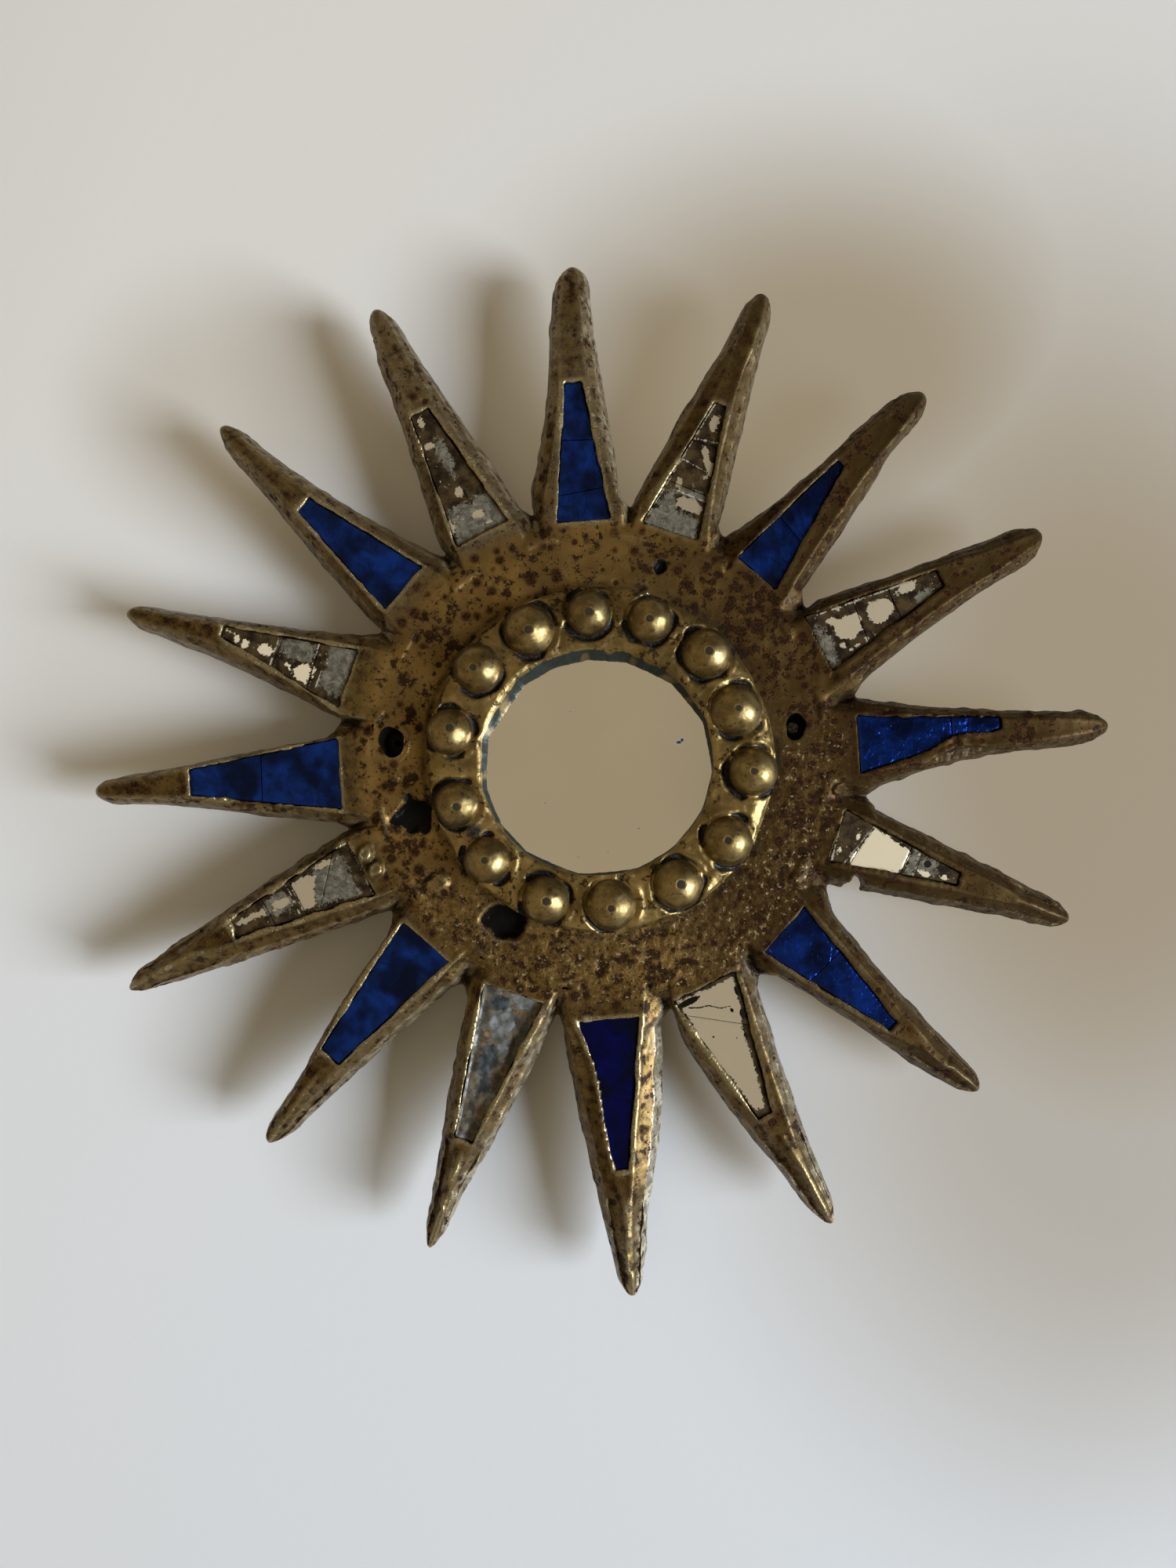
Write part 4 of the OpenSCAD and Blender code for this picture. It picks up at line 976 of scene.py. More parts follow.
# %% Silvered finish
# Each ray gives how pale its silver is, cream and grey patches, gaps, and glint lines: thin strokes of
# painted highlight along edges and cracks.
PATCHES = {
    1: dict(pale=0.05, cream=[
        (0.2, 85.5, 1.2, 2.0), (-3.3, 69.3, 0.8, 1.3), (2, 72.2, 0.7, 0.4),
        [(-0.6, 79.5), (0.8, 79.2), (1.6, 76.8), (3.6, 76), (3.8, 73.2), (2.6, 72.6), (1.4, 74.6),
         (0.4, 76), (-0.3, 77.6)],
        [(-2.8, 65.2), (-1.5, 66.3), (1.5, 66.5), (4.2, 65), (3.6, 63.6), (0.5, 63.1), (-2, 63.8)]],
        grey=[[(-8, 57), (4.5, 57), (4, 62.2), (-2, 63), (-4, 66.5), (-6, 66)], (1, 67.6, 3.5, 1.3)],
        glint_lines=[(-8.2, 58.5, -1.2, 90), (-5, 75, 3, 73.5), (-3, 80.5, 3, 81.2), (-2.8, 67.2, 4, 66.8)]),
    3: dict(pale=0.45, cream=[
        (-4.4, 84, 1.2, 2.8), (1.3, 64.2, 0.8, 0.8), (-6.8, 72, 0.4, 0.6), (-7.2, 67.6, 0.5, 0.7),
        (2.2, 72, 0.4, 0.5), (2.5, 70, 0.5, 0.5), (2.8, 67.2, 0.4, 0.7), (3, 65.5, 0.5, 0.5),
        [(-5, 74.5), (-4.6, 78), (-3, 79.5), (-1.2, 79), (0.6, 76.5), (0.2, 73.6), (-1.8, 72.6), (-4, 73)],
        [(-4.5, 70.6), (-2.5, 71), (-0.2, 69.8), (0.8, 67.5), (0.2, 65), (-1.5, 64), (-3.8, 64.2),
         (-6, 62.6), (-5.6, 64.8), (-4.6, 66.5)]],
        grey=[(-0.5, 60.8, 5, 1.4), (0, 87.5, 2, 2.5)], glint_lines=[(-8, 62, -5.2, 86), (-5, 75.2, -0.5, 73.5)]),
    5: dict(pale=1.0, cream=[
        [(-5.3, 67.5), (-4.2, 72.5), (-2.8, 77.3), (0.5, 77), (3, 76), (4.6, 70.5), (6, 65), (3.5, 64),
         (0.5, 65.2), (-2.5, 66.2)],
        (-2.3, 64.2, 0.7, 0.6), (2.3, 61, 0.6, 0.5), (1.2, 82, 0.7, 1.8), (0.5, 87, 0.5, 0.9)],
        grey=[(-0.4, 82, 2.4, 2.9), (0, 78.3, 3.5, 1.3)], gaps=[(-1.3, 82, 0.9, 0.9)],
        glint_lines=[(-8, 59, 5, 60), (-5.5, 67, 5, 63), (-3, 79.4, 2.5, 79.2)]),
    7: dict(pale=0.2, cream=[
        [(-5.3, 60.5), (-4, 67), (-2, 72), (-1.5, 75), (0, 84), (2, 91.5), (4, 91.5), (6.3, 80),
         (8.4, 72), (9, 60)]],
        gaps=[(-4.6, 64, 0.6, 1.2), (-3.2, 69.5, 0.5, 1.0), (-1.8, 74.5, 0.4, 0.8), (7, 61.2, 3.1, 0.8),
              (-3.5, 69, 0.5, 0.8), (-1.5, 67.5, 0.4, 0.6), (0.5, 74, 0.2, 0.3), (5.3, 71.3, 0.25, 0.25),
              [(7.6, 62.2), (5.2, 63.4), (3.0, 63.9), (0.6, 65.8), (-1.8, 66.4), (-1.8, 66.6),
               (0.7, 66.1), (3.1, 64.2), (5.3, 63.7), (7.6, 62.6)]],
        glint_lines=[(5.3, 79, 5.3, 85), (3.2, 61.4, 4.4, 61.6)]),
    11: dict(pale=0.15, cream=[
        [(2.4, 88.5), (4.2, 88.5), (3.8, 95.8), (2.8, 95.8)], (3.2, 84.2, 1.2, 2.6), (7, 70.2, 0.8, 2.7),
        [(-1, 77), (-0.7, 80), (6.3, 80), (6.5, 76), (5.5, 73.5), (3, 75)]],
        grey=[[(-3, 66), (7, 66), (7.5, 73), (5, 76), (-1.5, 76), (-2.5, 71)], (3.2, 84.5, 2.6, 3.5)],
        glint_lines=[(-1, 81, 5.5, 81), (-5, 63.2, 7, 63)]),
    13: dict(pale=1.3, cream=[
        (0.8, 94, 0.3, 0.8), (-0.3, 92.3, 0.8, 0.6), (-0.8, 89.8, 1.1, 0.9), (-0.6, 85, 1.3, 2.0),
        (-2.6, 72.2, 1.6, 0.5), [(-2.2, 79.2), (-1.5, 79), (-3.1, 77.2), (-3.9, 77.6)],
        [(-5.5, 73), (-5, 75.5), (-3.5, 77), (-1.5, 76.5), (-0.5, 74.5), (-0.8, 73)]],
        grey=[(2, 77.5, 2.8, 4.5), [(-7, 57), (8, 57), (6, 70), (-5, 70)]],
        glint_lines=[(-3.5, 82.7, 3, 82.7), (-1, 73, 5, 73), (-5.5, 70.6, -1, 70.4)]),
    15: dict(pale=0.2, cream=[
        (-2.7, 92, 0.8, 1.2), (-3.3, 86.2, 1.2, 0.9), (-1.8, 72.8, 0.9, 1.3), (0, 66, 1.5, 1.1),
        (1.5, 63.5, 0.6, 0.4), (5.3, 68.5, 0.5, 0.6), (-7.5, 66, 1.0, 1.8)],
        grey=[[(-9, 57), (9, 57), (7, 70), (-6, 70)], (-1, 82, 1.6, 4)],
        gaps=[(-0.6, 72, 0.4, 1.4)], glint_lines=[]),
}


def depth_in(u, q, shapes):
    """How deep in mm each point lies inside the nearest shape: an oval or a polygon."""
    best = np.full(len(u), -4.0)
    for shape in shapes:
        if isinstance(shape, tuple):
            cu, cq, ru, rq = shape
            depth = (1 - np.hypot((u - cu) / ru, (q - cq) / rq)) * min(ru, rq)
        else:
            depth, inside = np.full(len(u), 9.0), np.zeros(len(u), bool)
            for (u1, q1), (u2, q2) in zip(shape, shape[1:] + shape[:1]):
                du, dq = u2 - u1, q2 - q1
                along_it = np.clip(((u - u1) * du + (q - q1) * dq) / (du ** 2 + dq ** 2), 0, 1)
                depth = np.minimum(depth, np.hypot(u - u1 - along_it * du, q - q1 - along_it * dq))
                inside ^= ((q1 > q) != (q2 > q)) & (u < du * (q - q1) / (dq + 1e-9) + u1)
            depth = np.where(inside, depth, -depth)
        best = np.maximum(best, np.clip(depth, -4, 4))
    return best


def strokes(u, q, glint_lines):
    return depth_in(u, q, [[(a, b), (c, d), (c + 0.01, d), (a + 0.01, b)] for a, b, c, d in glint_lines])


silvered, tree, shader = new_finish("flaked_silver")
place = place_on(tree)
ragged = minus(tree, grain(tree, place, 1.5, 5, 0.65), 0.5)
tiny = minus(tree, grain(tree, place, 0.5, 3, 0.6), 0.5)
ragged = plus(tree, times(tree, ragged, 2.3), times(tree, tiny, 1.5))
bright = steps(tree, plus(tree, painted(tree, "cream"), ragged), -0.03, 0.05)
glued = steps(tree, plus(tree, painted(tree, "grey"), times(tree, ragged, 2.2)), -0.3, 0.3)
flecks = steps(tree, grain(tree, place, 0.7, 2), 0.69, 0.72)
brown = blend(tree, steps(tree, grain(tree, place, 3, 5, 0.65), 0.35, 0.65), (0.01, 0.005, 0.002, 1),
    (0.06, 0.037, 0.015, 1))
streaked = grain(tree, place, 1.6, 5, 0.65, 0.8)
glue = blend(tree, steps(tree, streaked, 0.3, 0.75), (0.06, 0.05, 0.034, 1), (0.2, 0.18, 0.135, 1))
silver = blend(tree, painted(tree, "pale"), (0.46, 0.385, 0.27, 1), (0.82, 0.71, 0.5, 1))
tone = blend(tree, glued, brown, glue)
tone = blend(tree, times(tree, flecks, 0.6), tone, silver)
tone = blend(tree, bright, tone, silver)
edge_dark = sums(tree, "ABSOLUTE", plus(tree, painted(tree, "cream"), ragged))
edge_dark = steps(tree, edge_dark, 0.1, 0.03, 0, 0.7)
tone = blend(tree, edge_dark, tone, (0.03, 0.018, 0.01, 1))
gap = steps(tree, plus(tree, painted(tree, "gaps"), times(tree, tiny, 0.5)), -0.03, 0.05)
tone = blend(tree, gap, tone, (0.008, 0.006, 0.004, 1))
# Painted highlights: thin pale lines along edges and cracks.
painted_glint = steps(tree, plus(tree, painted(tree, "glint_lines"), times(tree, ragged, 0.4)), -0.17, -0.08)
tone = blend(tree, times(tree, painted_glint, 0.7), tone, (0.5, 0.46, 0.36, 1))
metal = times(tree, bright, steps(tree, painted(tree, "pale"), 0, 1, 0.55, 0.3))
matt = steps(tree, bright, 0, 1, 0.45, 0.2)
height = plus(tree, times(tree, streaked, steps(tree, glued, 0, 1, 0.25, 0.4)), times(tree, bright, 0.15))
finish_up(tree, shader, height, 0.18, Base_Color=tone, Metallic=metal, Roughness=matt,
          Specular_IOR_Level=0.12, Coat_Weight=0.15, Coat_Roughness=0.05)

SILVER_CELL = 0.28
for node in sorted(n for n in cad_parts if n.startswith("silver_glass")):
    ray, parts = glass_slabs(node, SILVER_CELL, 0.006, 0.02)

    def patches(points):
        u, q = on_ray(points, ray)
        made = {key: depth_in(u, q, PATCHES[ray].get(key, [])) for key in ("cream", "grey", "gaps")}
        return dict(made, glint_lines=strokes(u, q, PATCHES[ray]["glint_lines"]),
            pale=np.full(len(u), PATCHES[ray]["pale"]))
    show(node + "_wedge", joined(node + "_wedge", parts, patches), silvered, node, sharp=40)
print("silvered wedges made")

# %% [markdown]
# ## Cement
# A bed of grey glue under each wedge. Only one is bare, in the ray that has lost its
# glass, where it is thick, cracked and lumpy. The others lie flat under the glass.

# %% Beds of cement
cement, tree, shader = new_finish("old_cement")
place = place_on(tree)
patchy = grain(tree, place, 3.5, 6, 0.65, 0.4)
edge_noise = times(tree, minus(tree, grain(tree, place, 1.8, 5, 0.65), 0.5), 3.5)
tone = blend(tree, steps(tree, patchy, 0.4, 0.62), (0.03, 0.024, 0.017, 1), (0.13, 0.105, 0.07, 1))
BED_TONES = [("lime", (0.07, 0.076, 0.072, 1), (0.18, 0.19, 0.186, 1)),
             ("soot", (0.006, 0.008, 0.01, 1), (0.04, 0.052, 0.06, 1)),
             ("gilded", (0.05, 0.02, 0.006, 1), (0.2, 0.105, 0.028, 1))]
for key, dull, fresh in BED_TONES:
    inside = steps(tree, plus(tree, painted(tree, key), edge_noise), -0.1, 0.25)
    tone = blend(tree, inside, tone,
        blend(tree, steps(tree, grain(tree, place, 2.0, 3, 0.55), 0.35, 0.65), dull, fresh))
tone = blend(tree, steps(tree, grain(tree, place, 1.1, 4), 0.64, 0.7, 0, 0.8), tone,
    (0.02, 0.013, 0.008, 1))
finish_up(tree, shader, patchy, 0.3, Base_Color=tone, Roughness=steps(tree, patchy, 0.3, 0.7, 0.7, 0.35),
          Coat_Weight=0.3, Coat_Roughness=0.15)
BED = dict(
    lime=[(2.2, 67.5, 3.0, 4.2), (0, 73, 1.6, 2.2), (-2, 61, 4, 1.6), (-1.5, 86, 1.6, 2.5)],
    soot=[(2.6, 77, 2.2, 4.5), (4.5, 63, 2.5, 2), (-4, 70, 1.4, 5), (1.5, 83, 1.5, 2)],
    gilded=[(-1.6, 64, 0.9, 0.7), (-1.5, 78, 0.8, 1.6), (4.8, 72, 0.6, 2.2), (-4.8, 62, 0.8, 2.5),
            (0.5, 89, 1.2, 1.6), (-2.8, 82, 0.6, 3)])
parts = []
BARE_RAY, BED_CELL, PLAIN_CELL = 9, 0.45, 3.0
for solid in islands("inlay_cement"):
    middle = solid.mean(0)
    ray = round(math.degrees(math.atan2(middle[0], middle[1])) * RAYS / 360) % RAYS
    flat, (high, low) = corners_of(solid, ray)
    if ray == BARE_RAY:
        def bed(flat_points, rim):
            return (0.5 * lumps(flat_points, 4.5, 71) + 0.3 * lumps(flat_points, 2, 72) - 0.15
                    + 0.5 * (1 - ease(rim, 0, 1.2)))
        parts.append(slab(flat, high, low, BED_CELL, bed))
    else:
        parts.append(slab(flat, high, low, PLAIN_CELL, lambda flat_points, rim: -0.02 * rim))


def bed_paint(points):
    u, q = on_ray(points, BARE_RAY)
    return {key: depth_in(u, q, shapes) for key, shapes in BED.items()}


show("cement_beds", joined("cement_beds", parts, bed_paint), cement, "inlay_cement", sharp=50)

# %% [markdown]
# ## The collar
# A soft metal band pressed over the edge of the mirror: its opening was cut with
# snips and is slightly many-sided, it dips round every bead and its outer edge rolls
# down to the hub. It is a ring swept round a profile, so each point is given by an
# angle and a step along the profile, and the radius and height vary with both.

# %% Collar
beads = []
for solid in islands("collar_beads"):
    low, high = solid[:, :2].min(0), solid[:, :2].max(0)
    beads.append(((low + high) / 2, (high - low).mean() / 2))
bead_sizes = [radius for _, radius in beads]
print("beads:", len(beads), "radius", round(min(bead_sizes), 2), "to", round(max(bead_sizes), 2))

BAND_TOP, AROUND, CUTS, LIP = 23.0, 900, 15, 0.25
ROLLED = BAND_TOP - 1.7
LOW_OVAL, TOP_OVAL = (-0.6, -1.8, 27.2, 25.8), (-1.0, -0.45, 28.0, 27.35)
angles = np.linspace(0, 2 * math.pi, AROUND, endpoint=False)
round_dir = np.c_[np.sin(angles), np.cos(angles)]
circle = np.c_[round_dir * 30, np.zeros(AROUND)]


def snipped(oval, share, seed):
    """Radius all round an oval opening cut with snips, a share of the way to straight cuts."""
    cu, cv, ru, rv = oval

    def radius(turn):
        right, up = np.sin(turn), np.cos(turn)
        return ru * rv / np.hypot(rv * right, ru * up) + cu * right + cv * up
    rng = np.random.default_rng(seed)
    turns = np.linspace(0, 2 * math.pi, CUTS, endpoint=False) + rng.normal(size=CUTS) * 0.07
    corners = radius(turns)[:, None] * np.c_[np.sin(turns), np.cos(turns)]
    steps_on = np.linspace(0, 1, 30, endpoint=False)[:, None]
    line = np.concatenate([a + (b - a) * steps_on for a, b in zip(corners, np.roll(corners, -1, 0))])
    chord = np.interp(angles, np.arctan2(line[:, 0], line[:, 1]) % (2 * math.pi), np.hypot(*line.T),
        period=2 * math.pi)
    return radius(angles) * (1 - share) + chord * share


low_cut = snipped(LOW_OVAL, 0.75, 5) + 0.12 * lumps(circle, 3, 82) + 0.05 * lumps(circle, 1, 80)
top_cut = snipped(TOP_OVAL, 0.4, 5) + 0.2 * lumps(circle, 6, 81)
reach_out = np.full(AROUND, 41.1) + 0.35 * lumps(circle, 9, 83) + 0.2 * lumps(circle, 3, 79)
for centre, radius in beads:
    off = np.angle(np.exp(1j * (angles - math.atan2(*centre))))
    bulge = np.hypot(*centre) + radius - 0.1
    reach_out += np.maximum(0, bulge - reach_out) * np.exp(-(off / 0.12) ** 2)
edge = np.minimum(reach_out, 42.3)
heights, radial = [], []
for share in np.linspace(0, 1, 12):
    radial.append(low_cut + (top_cut - low_cut) * share ** 1.3)
    heights.append(FACE_Z + (BAND_TOP - FACE_Z - LIP) * share)
for share in np.linspace(0, 1, 52)[1:]:
    radial.append(top_cut + (edge - top_cut) * share)
    rolled_off = 0.9 * ease(share, 0.7, 1.0) ** 1.5
    heights.append(BAND_TOP + LIP * (ease(share, 0, 0.06) - 1) - rolled_off - 0.8 * ease(share, 0.93, 1.0))
for share in np.linspace(0, 1, 7)[1:]:
    radial.append(edge + 0.15 - 0.5 * share)
    heights.append(ROLLED - (ROLLED - FACE_Z) * share)
radial = np.array(radial)
heights = np.repeat(np.array(heights)[:, None], AROUND, 1)
points = np.stack([radial * round_dir[:, 0], radial * round_dir[:, 1], heights], -1).reshape(-1, 3)
free = away_from(points)
on_top = ease(points[:, 2], FACE_Z + 1, FACE_Z + 2.5)
uneven_top = 0.28 * lumps(points, 7, 84) + 0.13 * lumps(points, 2.8, 85) + 0.05 * lumps(points, 1.1, 87)
points[:, 2] += on_top * (uneven_top - 0.1)
BEAD_IN = 0.3
# Dark in the moats round the beads, as dirt and painted shade.
crevice = np.zeros(len(points))
patchy_ring = 1.7 * lumps(np.c_[points[:, :2], np.full(len(points), 3.0)], 5, 86)
for centre, radius in beads:
    away = points[:, :2] - centre
    far = away_from(away)
    gap = far - radius + BEAD_IN
    shaded = (-away[:, 0] * 0.5 - away[:, 1] * 0.3) / np.maximum(far, 0.1)
    uneven = np.clip(0.45 + 0.4 * shaded + patchy_ring, 0, 1.2)
    moat = np.exp(-((gap - 0.15 - 0.3 * uneven) / (0.4 + 0.35 * uneven)) ** 2) * uneven * on_top
    points[:, 2] -= 1.0 * moat + 0.2 * ease(-gap, 0, 1.5) * on_top
    points[:, 2] += 0.25 * np.exp(-((gap - 1.2) / 0.7) ** 2) * (1 - uneven) * on_top
    crevice = np.maximum(crevice, moat)
rows = len(radial)
index = np.arange(rows * AROUND).reshape(rows, AROUND)
on = np.roll(index, -1, 1)
faces = np.stack([index, on, np.roll(on, -1, 0), np.roll(index, -1, 0)], -1).reshape(-1, 4)

# A thin worn varnish, which turns the brightest glints of old metal white.
LACQUER = dict(Specular_IOR_Level=0.1, Coat_Weight=0.12, Coat_Roughness=0.26)
brass, tree, shader = new_finish("rubbed_band")
place = place_on(tree)
cloud, fine_noise = grain(tree, place, 5, 4, 0.6), grain(tree, place, 0.7, 4, 0.6)
tone = blend(tree, steps(tree, cloud, 0.35, 0.68), (0.205, 0.137, 0.045, 1), (0.4, 0.278, 0.106, 1))
# Painted shade toward the top of the band, and tarnish.
tone = blend(tree, painted(tree, "dim"), tone, (0.06, 0.038, 0.014, 1))
spots = plus(tree, times(tree, grain(tree, place, 2.2, 5, 0.65), 0.8), times(tree, fine_noise, 0.2))
spots = steps(tree, plus(tree, spots, times(tree, painted(tree, "dim"), 0.07)), 0.565, 0.59)
tone = blend(tree, times(tree, spots, 0.85), tone, (0.024, 0.013, 0.005, 1))
# Dirt and painted shade in the moats and at the foot of the band.
dark = steps(tree, plus(tree, painted(tree, "crevice"), times(tree, fine_noise, 0.4)), 0.36, 0.6)
tone = blend(tree, dark, tone,
    blend(tree, steps(tree, fine_noise, 0.45, 0.62), (0.008, 0.006, 0.005, 1), (0.036, 0.029, 0.021, 1)))
tone = blend(tree, steps(tree, painted(tree, "inner"), 0.3, 0.8), tone,
    blend(tree, fine_noise, (0.008, 0.01, 0.008, 1), (0.034, 0.039, 0.031, 1)))
metal = minus(tree, 0.95, times(tree, plus(tree, dark, painted(tree, "inner"), clamp=True), 0.8))
matt = plus(tree, 0.39,
    times(tree, plus(tree, plus(tree, spots, dark), painted(tree, "inner"), clamp=True), 0.25))
finish_up(tree, shader, plus(tree, cloud, times(tree, fine_noise, 0.12)), 0.25,
          Base_Color=tone, Metallic=metal, Roughness=matt, **LACQUER)

inner = np.repeat(np.r_[np.zeros(1), np.ones(8), 0.6, 0.2, np.zeros(rows - 11)], AROUND)
inner = inner * (1 - 0.45 * ease(lumps(np.c_[points[:, :2], points[:, 2] * 0], 4, 88), -0.1, 0.5))
# Painted shade: the band is darker toward the top; random patches of tarnish darken it too.
upper = ease(points[:, 1] / free, 0.2, 1.0)
dim_band = np.clip(0.24 * upper + 0.4 * ease(lumps(points, 8, 89), 0.0, 0.5), 0, 0.8)
# Painted shadow: a dark line at the foot of the band's outer edge.
crevice = np.maximum(crevice, ease(free, 41.0, 42.0) * ease(BAND_TOP - 0.8 - points[:, 2], 0, 1.5))
GRIME = [(-31.0, -15.0, 3.2, 0.42), (-28.6, -19.5, 2.4, 0.36), (-33.5, 12.5, 2.0, 0.32),
         (9.0, 32.5, 2.6, 0.34)]
for u, v, wide, share in GRIME:
    crevice = np.maximum(crevice, share * np.exp(-(away_from(points, (u, v)) / wide) ** 2))
mesh = mesh_from("beaded_collar", points, [faces], crevice=crevice, inner=inner, dim=dim_band)
turned_out(mesh)
show("beaded_collar", mesh, brass, "collar", sharp=70)

# %% [markdown]
# ## Beads
# Fourteen domes raised from the band. They are the smoothest thing on the piece and
# shine broadly on the side of the window. Each has a small pit on top where the dome
# was pinned, and a foot that runs down into its crevice. One dome is a grid of rings
# from the top of the cap down to below the band.

# %% Beads
parts_points, parts_faces, pit_paint, foot_paint, shade_and_spot_paint, shift = [], [], [], [], [], 0
ROUND, DOME_RINGS, BEAD_H = 84, 30, 4.26
spin = np.linspace(0, 2 * math.pi, ROUND, endpoint=False)
for n, (centre, radius) in enumerate(beads):
    rng = np.random.default_rng(900 + n)
    radius = radius - BEAD_IN
    ball = (radius ** 2 + BEAD_H ** 2) / (2 * BEAD_H)
    tip = math.asin(min(1, radius / ball)) if BEAD_H < ball else math.pi - math.asin(radius / ball)
    tilt = np.linspace(0.03, tip, DOME_RINGS)
    out, up = ball * np.sin(tilt), BAND_TOP + BEAD_H - ball + ball * np.cos(tilt)
    out, up = np.r_[out, radius + 0.05, radius + 0.05], np.r_[up, BAND_TOP - 0.6, BAND_TOP - 1.4]
    pin = rng.normal(size=2) * 0.35
    flat = out[:, None, None] * np.stack([np.sin(spin), np.cos(spin)], -1)[None]
    some = np.concatenate([flat, np.repeat(up[:, None, None], ROUND, 1)], -1).reshape(-1, 3)
    some[:, :2] += centre
    off = np.hypot(some[:, 0] - centre[0] - pin[0], some[:, 1] - centre[1] - pin[1])
    size = 0.92 + 0.12 * rng.normal()
    pit = 1 - ease(off, size * 0.85, size * 1.1)
    ring = np.exp(-((off - size * 1.4) / 0.25) ** 2)
    high = some[:, 2] > BAND_TOP - 0.1
    some[:, 2] += high * (-0.13 * pit + 0.04 * ring)
    push = 0.11 * lumps(some, 3.4, 910 + n) + 0.04 * lumps(some, 1.3, 930 + n)
    away = some - np.r_[centre, BAND_TOP]
    some += away / np.linalg.norm(away, axis=1)[:, None] * (push - 0.06)[:, None]
    grid = shift + np.arange(len(out) * ROUND).reshape(len(out), ROUND)
    parts_faces += lathe_faces(grid)
    parts_points.append(some)
    pit_paint.append(pit * high)
    # Dark where the dome runs down into its crevice, as dirt and painted shade.
    foot = 1 - ease(some[:, 2], BAND_TOP - 0.1, BAND_TOP + 0.6)
    foot_paint.append(foot * (0.5 + 1.2 * lumps(some, 4, 950 + n)))
    # Painted shade: each bead is darker on its upper side, with dark spots, more on the upper beads.
    upward = (some[:, 1] - centre[1]) / radius
    spotted = (0.35 if centre[1] > 25 else 0.1) * ease(lumps(some, 3, 970), -0.2, 0.5)
    shade_and_spot_paint.append(np.clip(0.25 * ease(upward, 0.0, 1.1) + spotted, 0, 0.8))
    shift += len(some)

dome, tree, shader = new_finish("rubbed_bead")
place = place_on(tree)
cloud, fine_noise = grain(tree, place, 3.5, 4, 0.6), grain(tree, place, 0.5, 3, 0.6)
tone = blend(tree, steps(tree, cloud, 0.35, 0.7), (0.19, 0.13, 0.047, 1), (0.35, 0.255, 0.105, 1))
tone = blend(tree, steps(tree, grain(tree, place, 1.3, 5, 0.65), 0.58, 0.63, 0, 0.7), tone,
    (0.07, 0.045, 0.02, 1))
# Painted shade on the upper side of each bead, and dark spots.
tone = blend(tree, painted(tree, "dull"), tone, (0.06, 0.04, 0.017, 1))
# Dirt and painted shade at the foot of each bead.
dark = times(tree, painted(tree, "foot"), steps(tree, cloud, 0.3, 0.6, 0.6, 1.2), clamp=True)
tone = blend(tree, dark, tone, (0.03, 0.022, 0.015, 1))
tone = blend(tree, steps(tree, painted(tree, "pit"), 0.25, 0.7), tone, (0.04, 0.029, 0.018, 1))
marks = plus(tree, dark, painted(tree, "pit"), clamp=True)
metal = minus(tree, 1.0, times(tree, marks, 0.6))
matt = plus(tree, 0.41, times(tree, marks, 0.3))
finish_up(tree, shader, plus(tree, cloud, times(tree, fine_noise, 0.1)), 0.12,
          Base_Color=tone, Metallic=metal, Roughness=matt, **LACQUER)
mesh = mesh_from("beads", np.concatenate(parts_points), parts_faces, pit=np.concatenate(pit_paint),
    foot=np.concatenate(foot_paint), dull=np.concatenate(shade_and_spot_paint))
turned_out(mesh)
show("beads", mesh, dome, "collar_beads", sharp=60)
print("collar and beads made")

# %% [markdown]
# ## The mirror
# Plain flat glass, silvered behind. The CAD disc is already right, so it keeps its
# shape and only gets its finish: a clean reflection with dark flecks, a few
# scratches and a very slight bloom.

# %% Mirror finish
mirror, tree, shader = new_finish("old_mirror")
place = place_on(tree)
specks = steps(tree, grain(tree, place, 0.9, 2), 0.77, 0.79)
scratch = add(tree, "TexVoronoi", {"Vector": place_on(tree, (1.0, 1, 0.16)), "Scale": 900},
    feature="F1").outputs[0]
scratched = times(tree, steps(tree, scratch, 0.06, 0.02), steps(tree, grain(tree, place, 7, 2), 0.5, 0.65))
bloom = steps(tree, grain(tree, place, 20, 3), 0.3, 0.7, 0.0, 1.0)
tone = blend(tree, bloom, (0.85, 0.84, 0.82, 1), (0.88, 0.87, 0.86, 1))
SPECKS = [(19.0, 2.9, 1.3, 0.7), (19.8, 3.4, 0.7, 0.85), (-14.0, -9.5, 0.3, 0.3), (-6.5, 12.0, 0.25, 0.25),
          (8.0, -17.0, 0.4, 0.3)]
for u, v, wide, tall in SPECKS:
    specks = most(tree, specks, oval(tree, place, u, v, wide, tall))
tone = blend(tree, specks, tone, (0.02, 0.016, 0.012, 1))
tone = blend(tree, times(tree, scratched, 0.5), tone, (1.0, 0.98, 0.95, 1))
metal = minus(tree, minus(tree, 1.0, specks), times(tree, scratched, 0.2), clamp=True)
finish_up(tree, shader, None, 0, Base_Color=tone, Metallic=metal,
          Roughness=plus(tree, 0.015, times(tree, plus(tree, specks, scratched, clamp=True), 0.3)),
          Specular_IOR_Level=0.1)


SHARP_EDGE = 30


def dress(node, finish, bevel=0.0):
    """Keeps a CAD node's own shape: a new finish, and a bevel on its edges if asked."""
    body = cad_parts[node]
    body.data.materials.clear()
    body.data.materials.append(finish)
    if bevel:
        weld = body.modifiers.new("weld", "WELD")
        weld.merge_threshold = 1e-6
        soft = body.modifiers.new("edge", "BEVEL")
        soft.width, soft.segments = bevel / 1000, 3
        soft.limit_method, soft.angle_limit = "ANGLE", math.radians(SHARP_EDGE)
        soft.harden_normals = False


dress("mirror_glass", mirror)
dress("mirror_cement", cement)

# %% [markdown]
# ## The nail
# An old wire nail with a flat, rusted head, driven deep in its hole. Its head is a
# lathe shape with a knocked, uneven face.

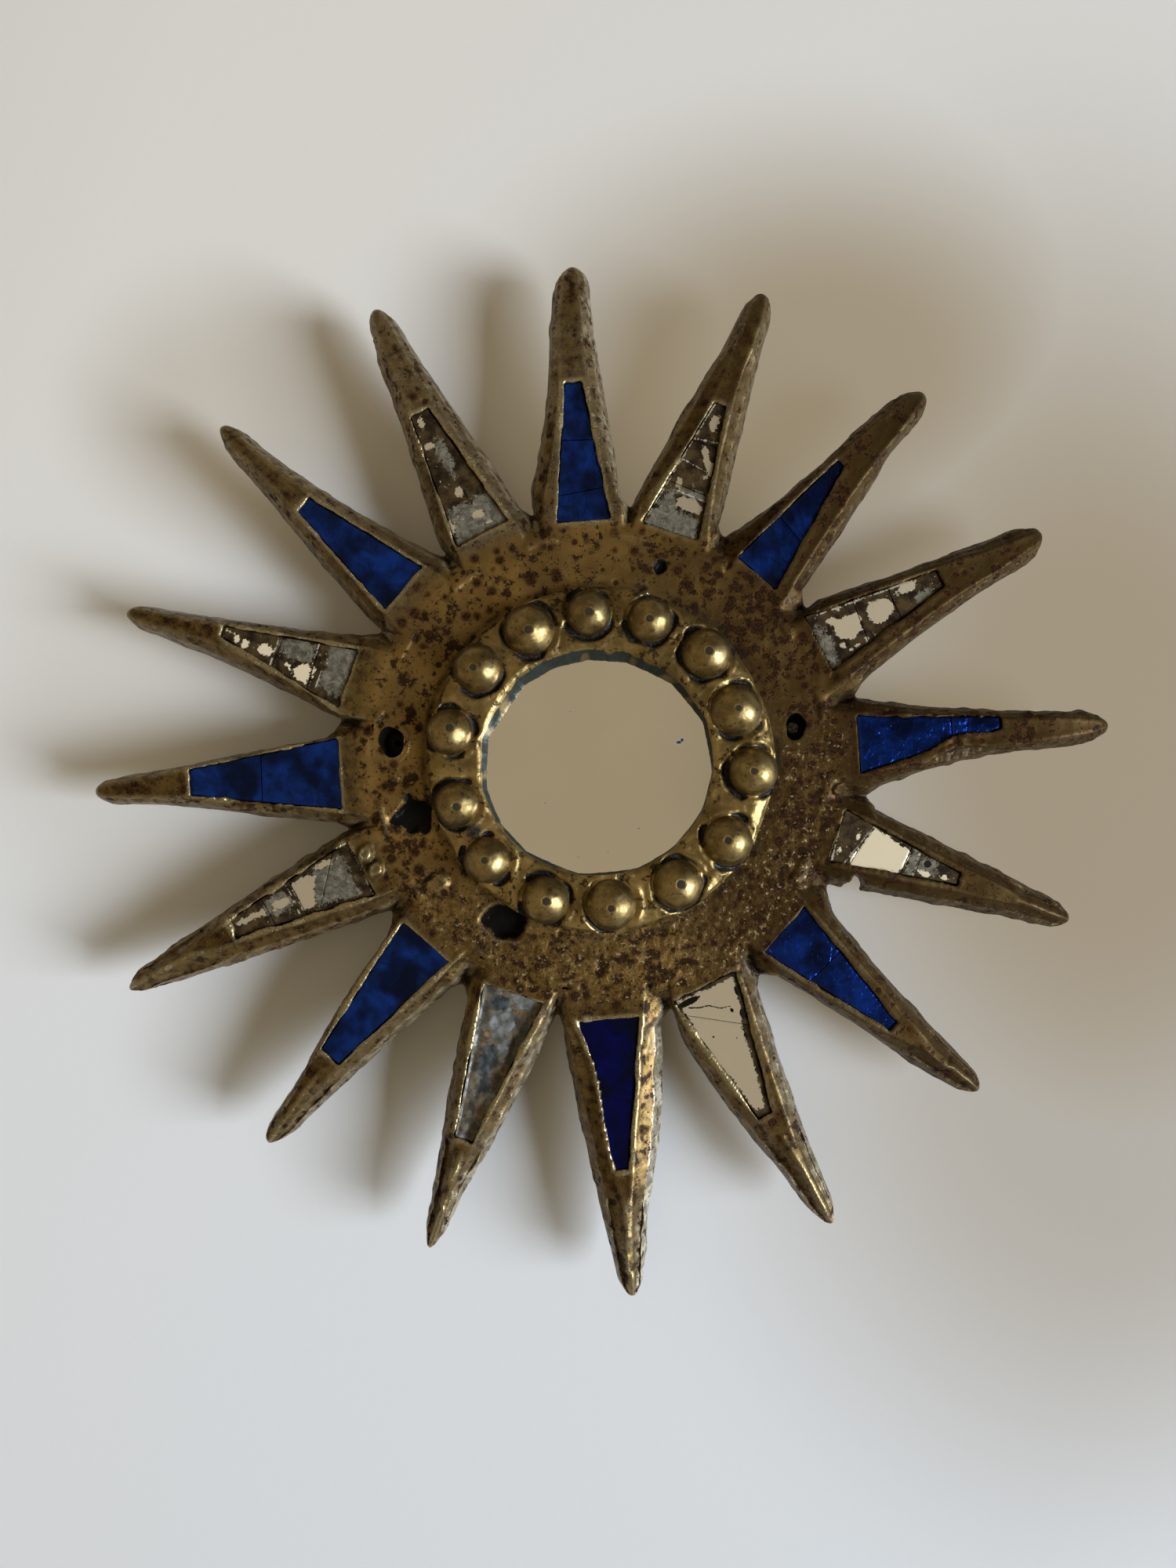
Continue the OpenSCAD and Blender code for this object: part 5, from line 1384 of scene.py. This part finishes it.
# %% Nail
rust, tree, shader = new_finish("dull_nail")
place = place_on(tree)
patchy = grain(tree, place, 0.8, 4, 0.6)
tone = blend(tree, steps(tree, patchy, 0.35, 0.65), (0.05, 0.035, 0.022, 1), (0.21, 0.19, 0.14, 1))
finish_up(tree, shader, patchy, 0.1, Base_Color=tone, Metallic=0.75,
    Roughness=steps(tree, patchy, 0.3, 0.7, 0.65, 0.4))
low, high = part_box("fixing_nail")
nail_mid = np.array([(low[0] + high[0]) / 2, (low[2] + high[2]) / 2]) * 1000
nail_top, nail_low, head_r, shank_r = -low[1] * 1000, -high[1] * 1000, 1.5, 0.8
profile = [(0.05, nail_top - 0.12), (0.6, nail_top - 0.03), (head_r - 0.2, nail_top),
           (head_r, nail_top - 0.2), (head_r, nail_top - 0.7), (head_r - 0.15, nail_top - 0.9),
           (shank_r, nail_top - 1.1), (shank_r, nail_low + 1.6), (0.1, nail_low)]
NAIL_SIDES = 40
spin = np.linspace(0, 2 * math.pi, NAIL_SIDES, endpoint=False)
points = np.array([[nail_mid[0] + r * math.sin(a), nail_mid[1] + r * math.cos(a), z]
                   for r, z in profile for a in spin])
on_head = points[:, 2] > nail_top - 0.8
points[:, 2] += 0.12 * lumps(points, 1.1, 95) * on_head - 0.1 * on_head
grid = np.arange(len(points)).reshape(len(profile), NAIL_SIDES)
mesh = mesh_from("old_nail", points, lathe_faces(grid))
show("old_nail", mesh, rust, "fixing_nail", sharp=45)

# %% [markdown]
# ## The back
# Nothing behind is seen in the photograph. It is finished as such pieces are: a
# turned wooden disc, dark felt over it and a brass plate to hang it by.

# %% Wood, felt and brass
wood, tree, shader = new_finish("turned_wood")
place = place_on(tree, (1, 1, 0.12))
rings = add(tree, "TexWave", {"Vector": place, "Scale": 90.0, "Distortion": 5.0, "Detail": 3.0},
    wave_type="BANDS").outputs[1]
fibres = grain(tree, place, 0.7, 5, 0.7)
tone = blend(tree, rings, (0.2, 0.11, 0.055, 1), (0.31, 0.19, 0.1, 1))
tone = blend(tree, steps(tree, fibres, 0.35, 0.7, 0, 0.6), tone, (0.12, 0.065, 0.032, 1))
# Painted shade: the wood is black where it shows at the bottom of the two holes.
for u, v in HOLES:
    tone = blend(tree, oval(tree, add(tree, "TexCoord").outputs["Object"], u, v, 9, 9), tone,
        (0.008, 0.006, 0.004, 1))
finish_up(tree, shader, fibres, 0.12, Base_Color=tone, Roughness=steps(tree, fibres, 0.3, 0.7, 0.5, 0.7))
dress("backing_disc", wood, 0.8)

felt, tree, shader = new_finish("brown_felt")
place = place_on(tree)
hairs = add(tree, "TexNoise",
    {"Vector": place, "Scale": 1500.0, "Detail": 5.0, "Roughness": 0.7, "Distortion": 2.5}).outputs[0]
tone = blend(tree, steps(tree, hairs, 0.3, 0.7), (0.045, 0.028, 0.018, 1), (0.14, 0.095, 0.065, 1))
tone = blend(tree, steps(tree, grain(tree, place, 12, 3), 0.35, 0.7, 0, 0.4), tone, (0.07, 0.045, 0.03, 1))
finish_up(tree, shader, hairs, 0.35, Base_Color=tone, Roughness=0.95, Sheen_Weight=0.4, Sheen_Roughness=0.5)
dress("felt_pad", felt, 0.4)

plate, tree, shader = new_finish("brass_plate")
place = place_on(tree)
tarnish = grain(tree, place, 3, 4, 0.6)
brushed = grain(tree, place_on(tree, (0.05, 1, 1)), 0.12, 2)
tone = blend(tree, steps(tree, tarnish, 0.4, 0.7), (0.6, 0.42, 0.15, 1), (0.34, 0.23, 0.09, 1))
finish_up(tree, shader, brushed, 0.02, Base_Color=tone, Metallic=1.0,
    Roughness=steps(tree, tarnish, 0.3, 0.7, 0.28, 0.45))
dress("hanging_plate", plate, 0.15)
dress("hanging_screws", plate, 0.1)
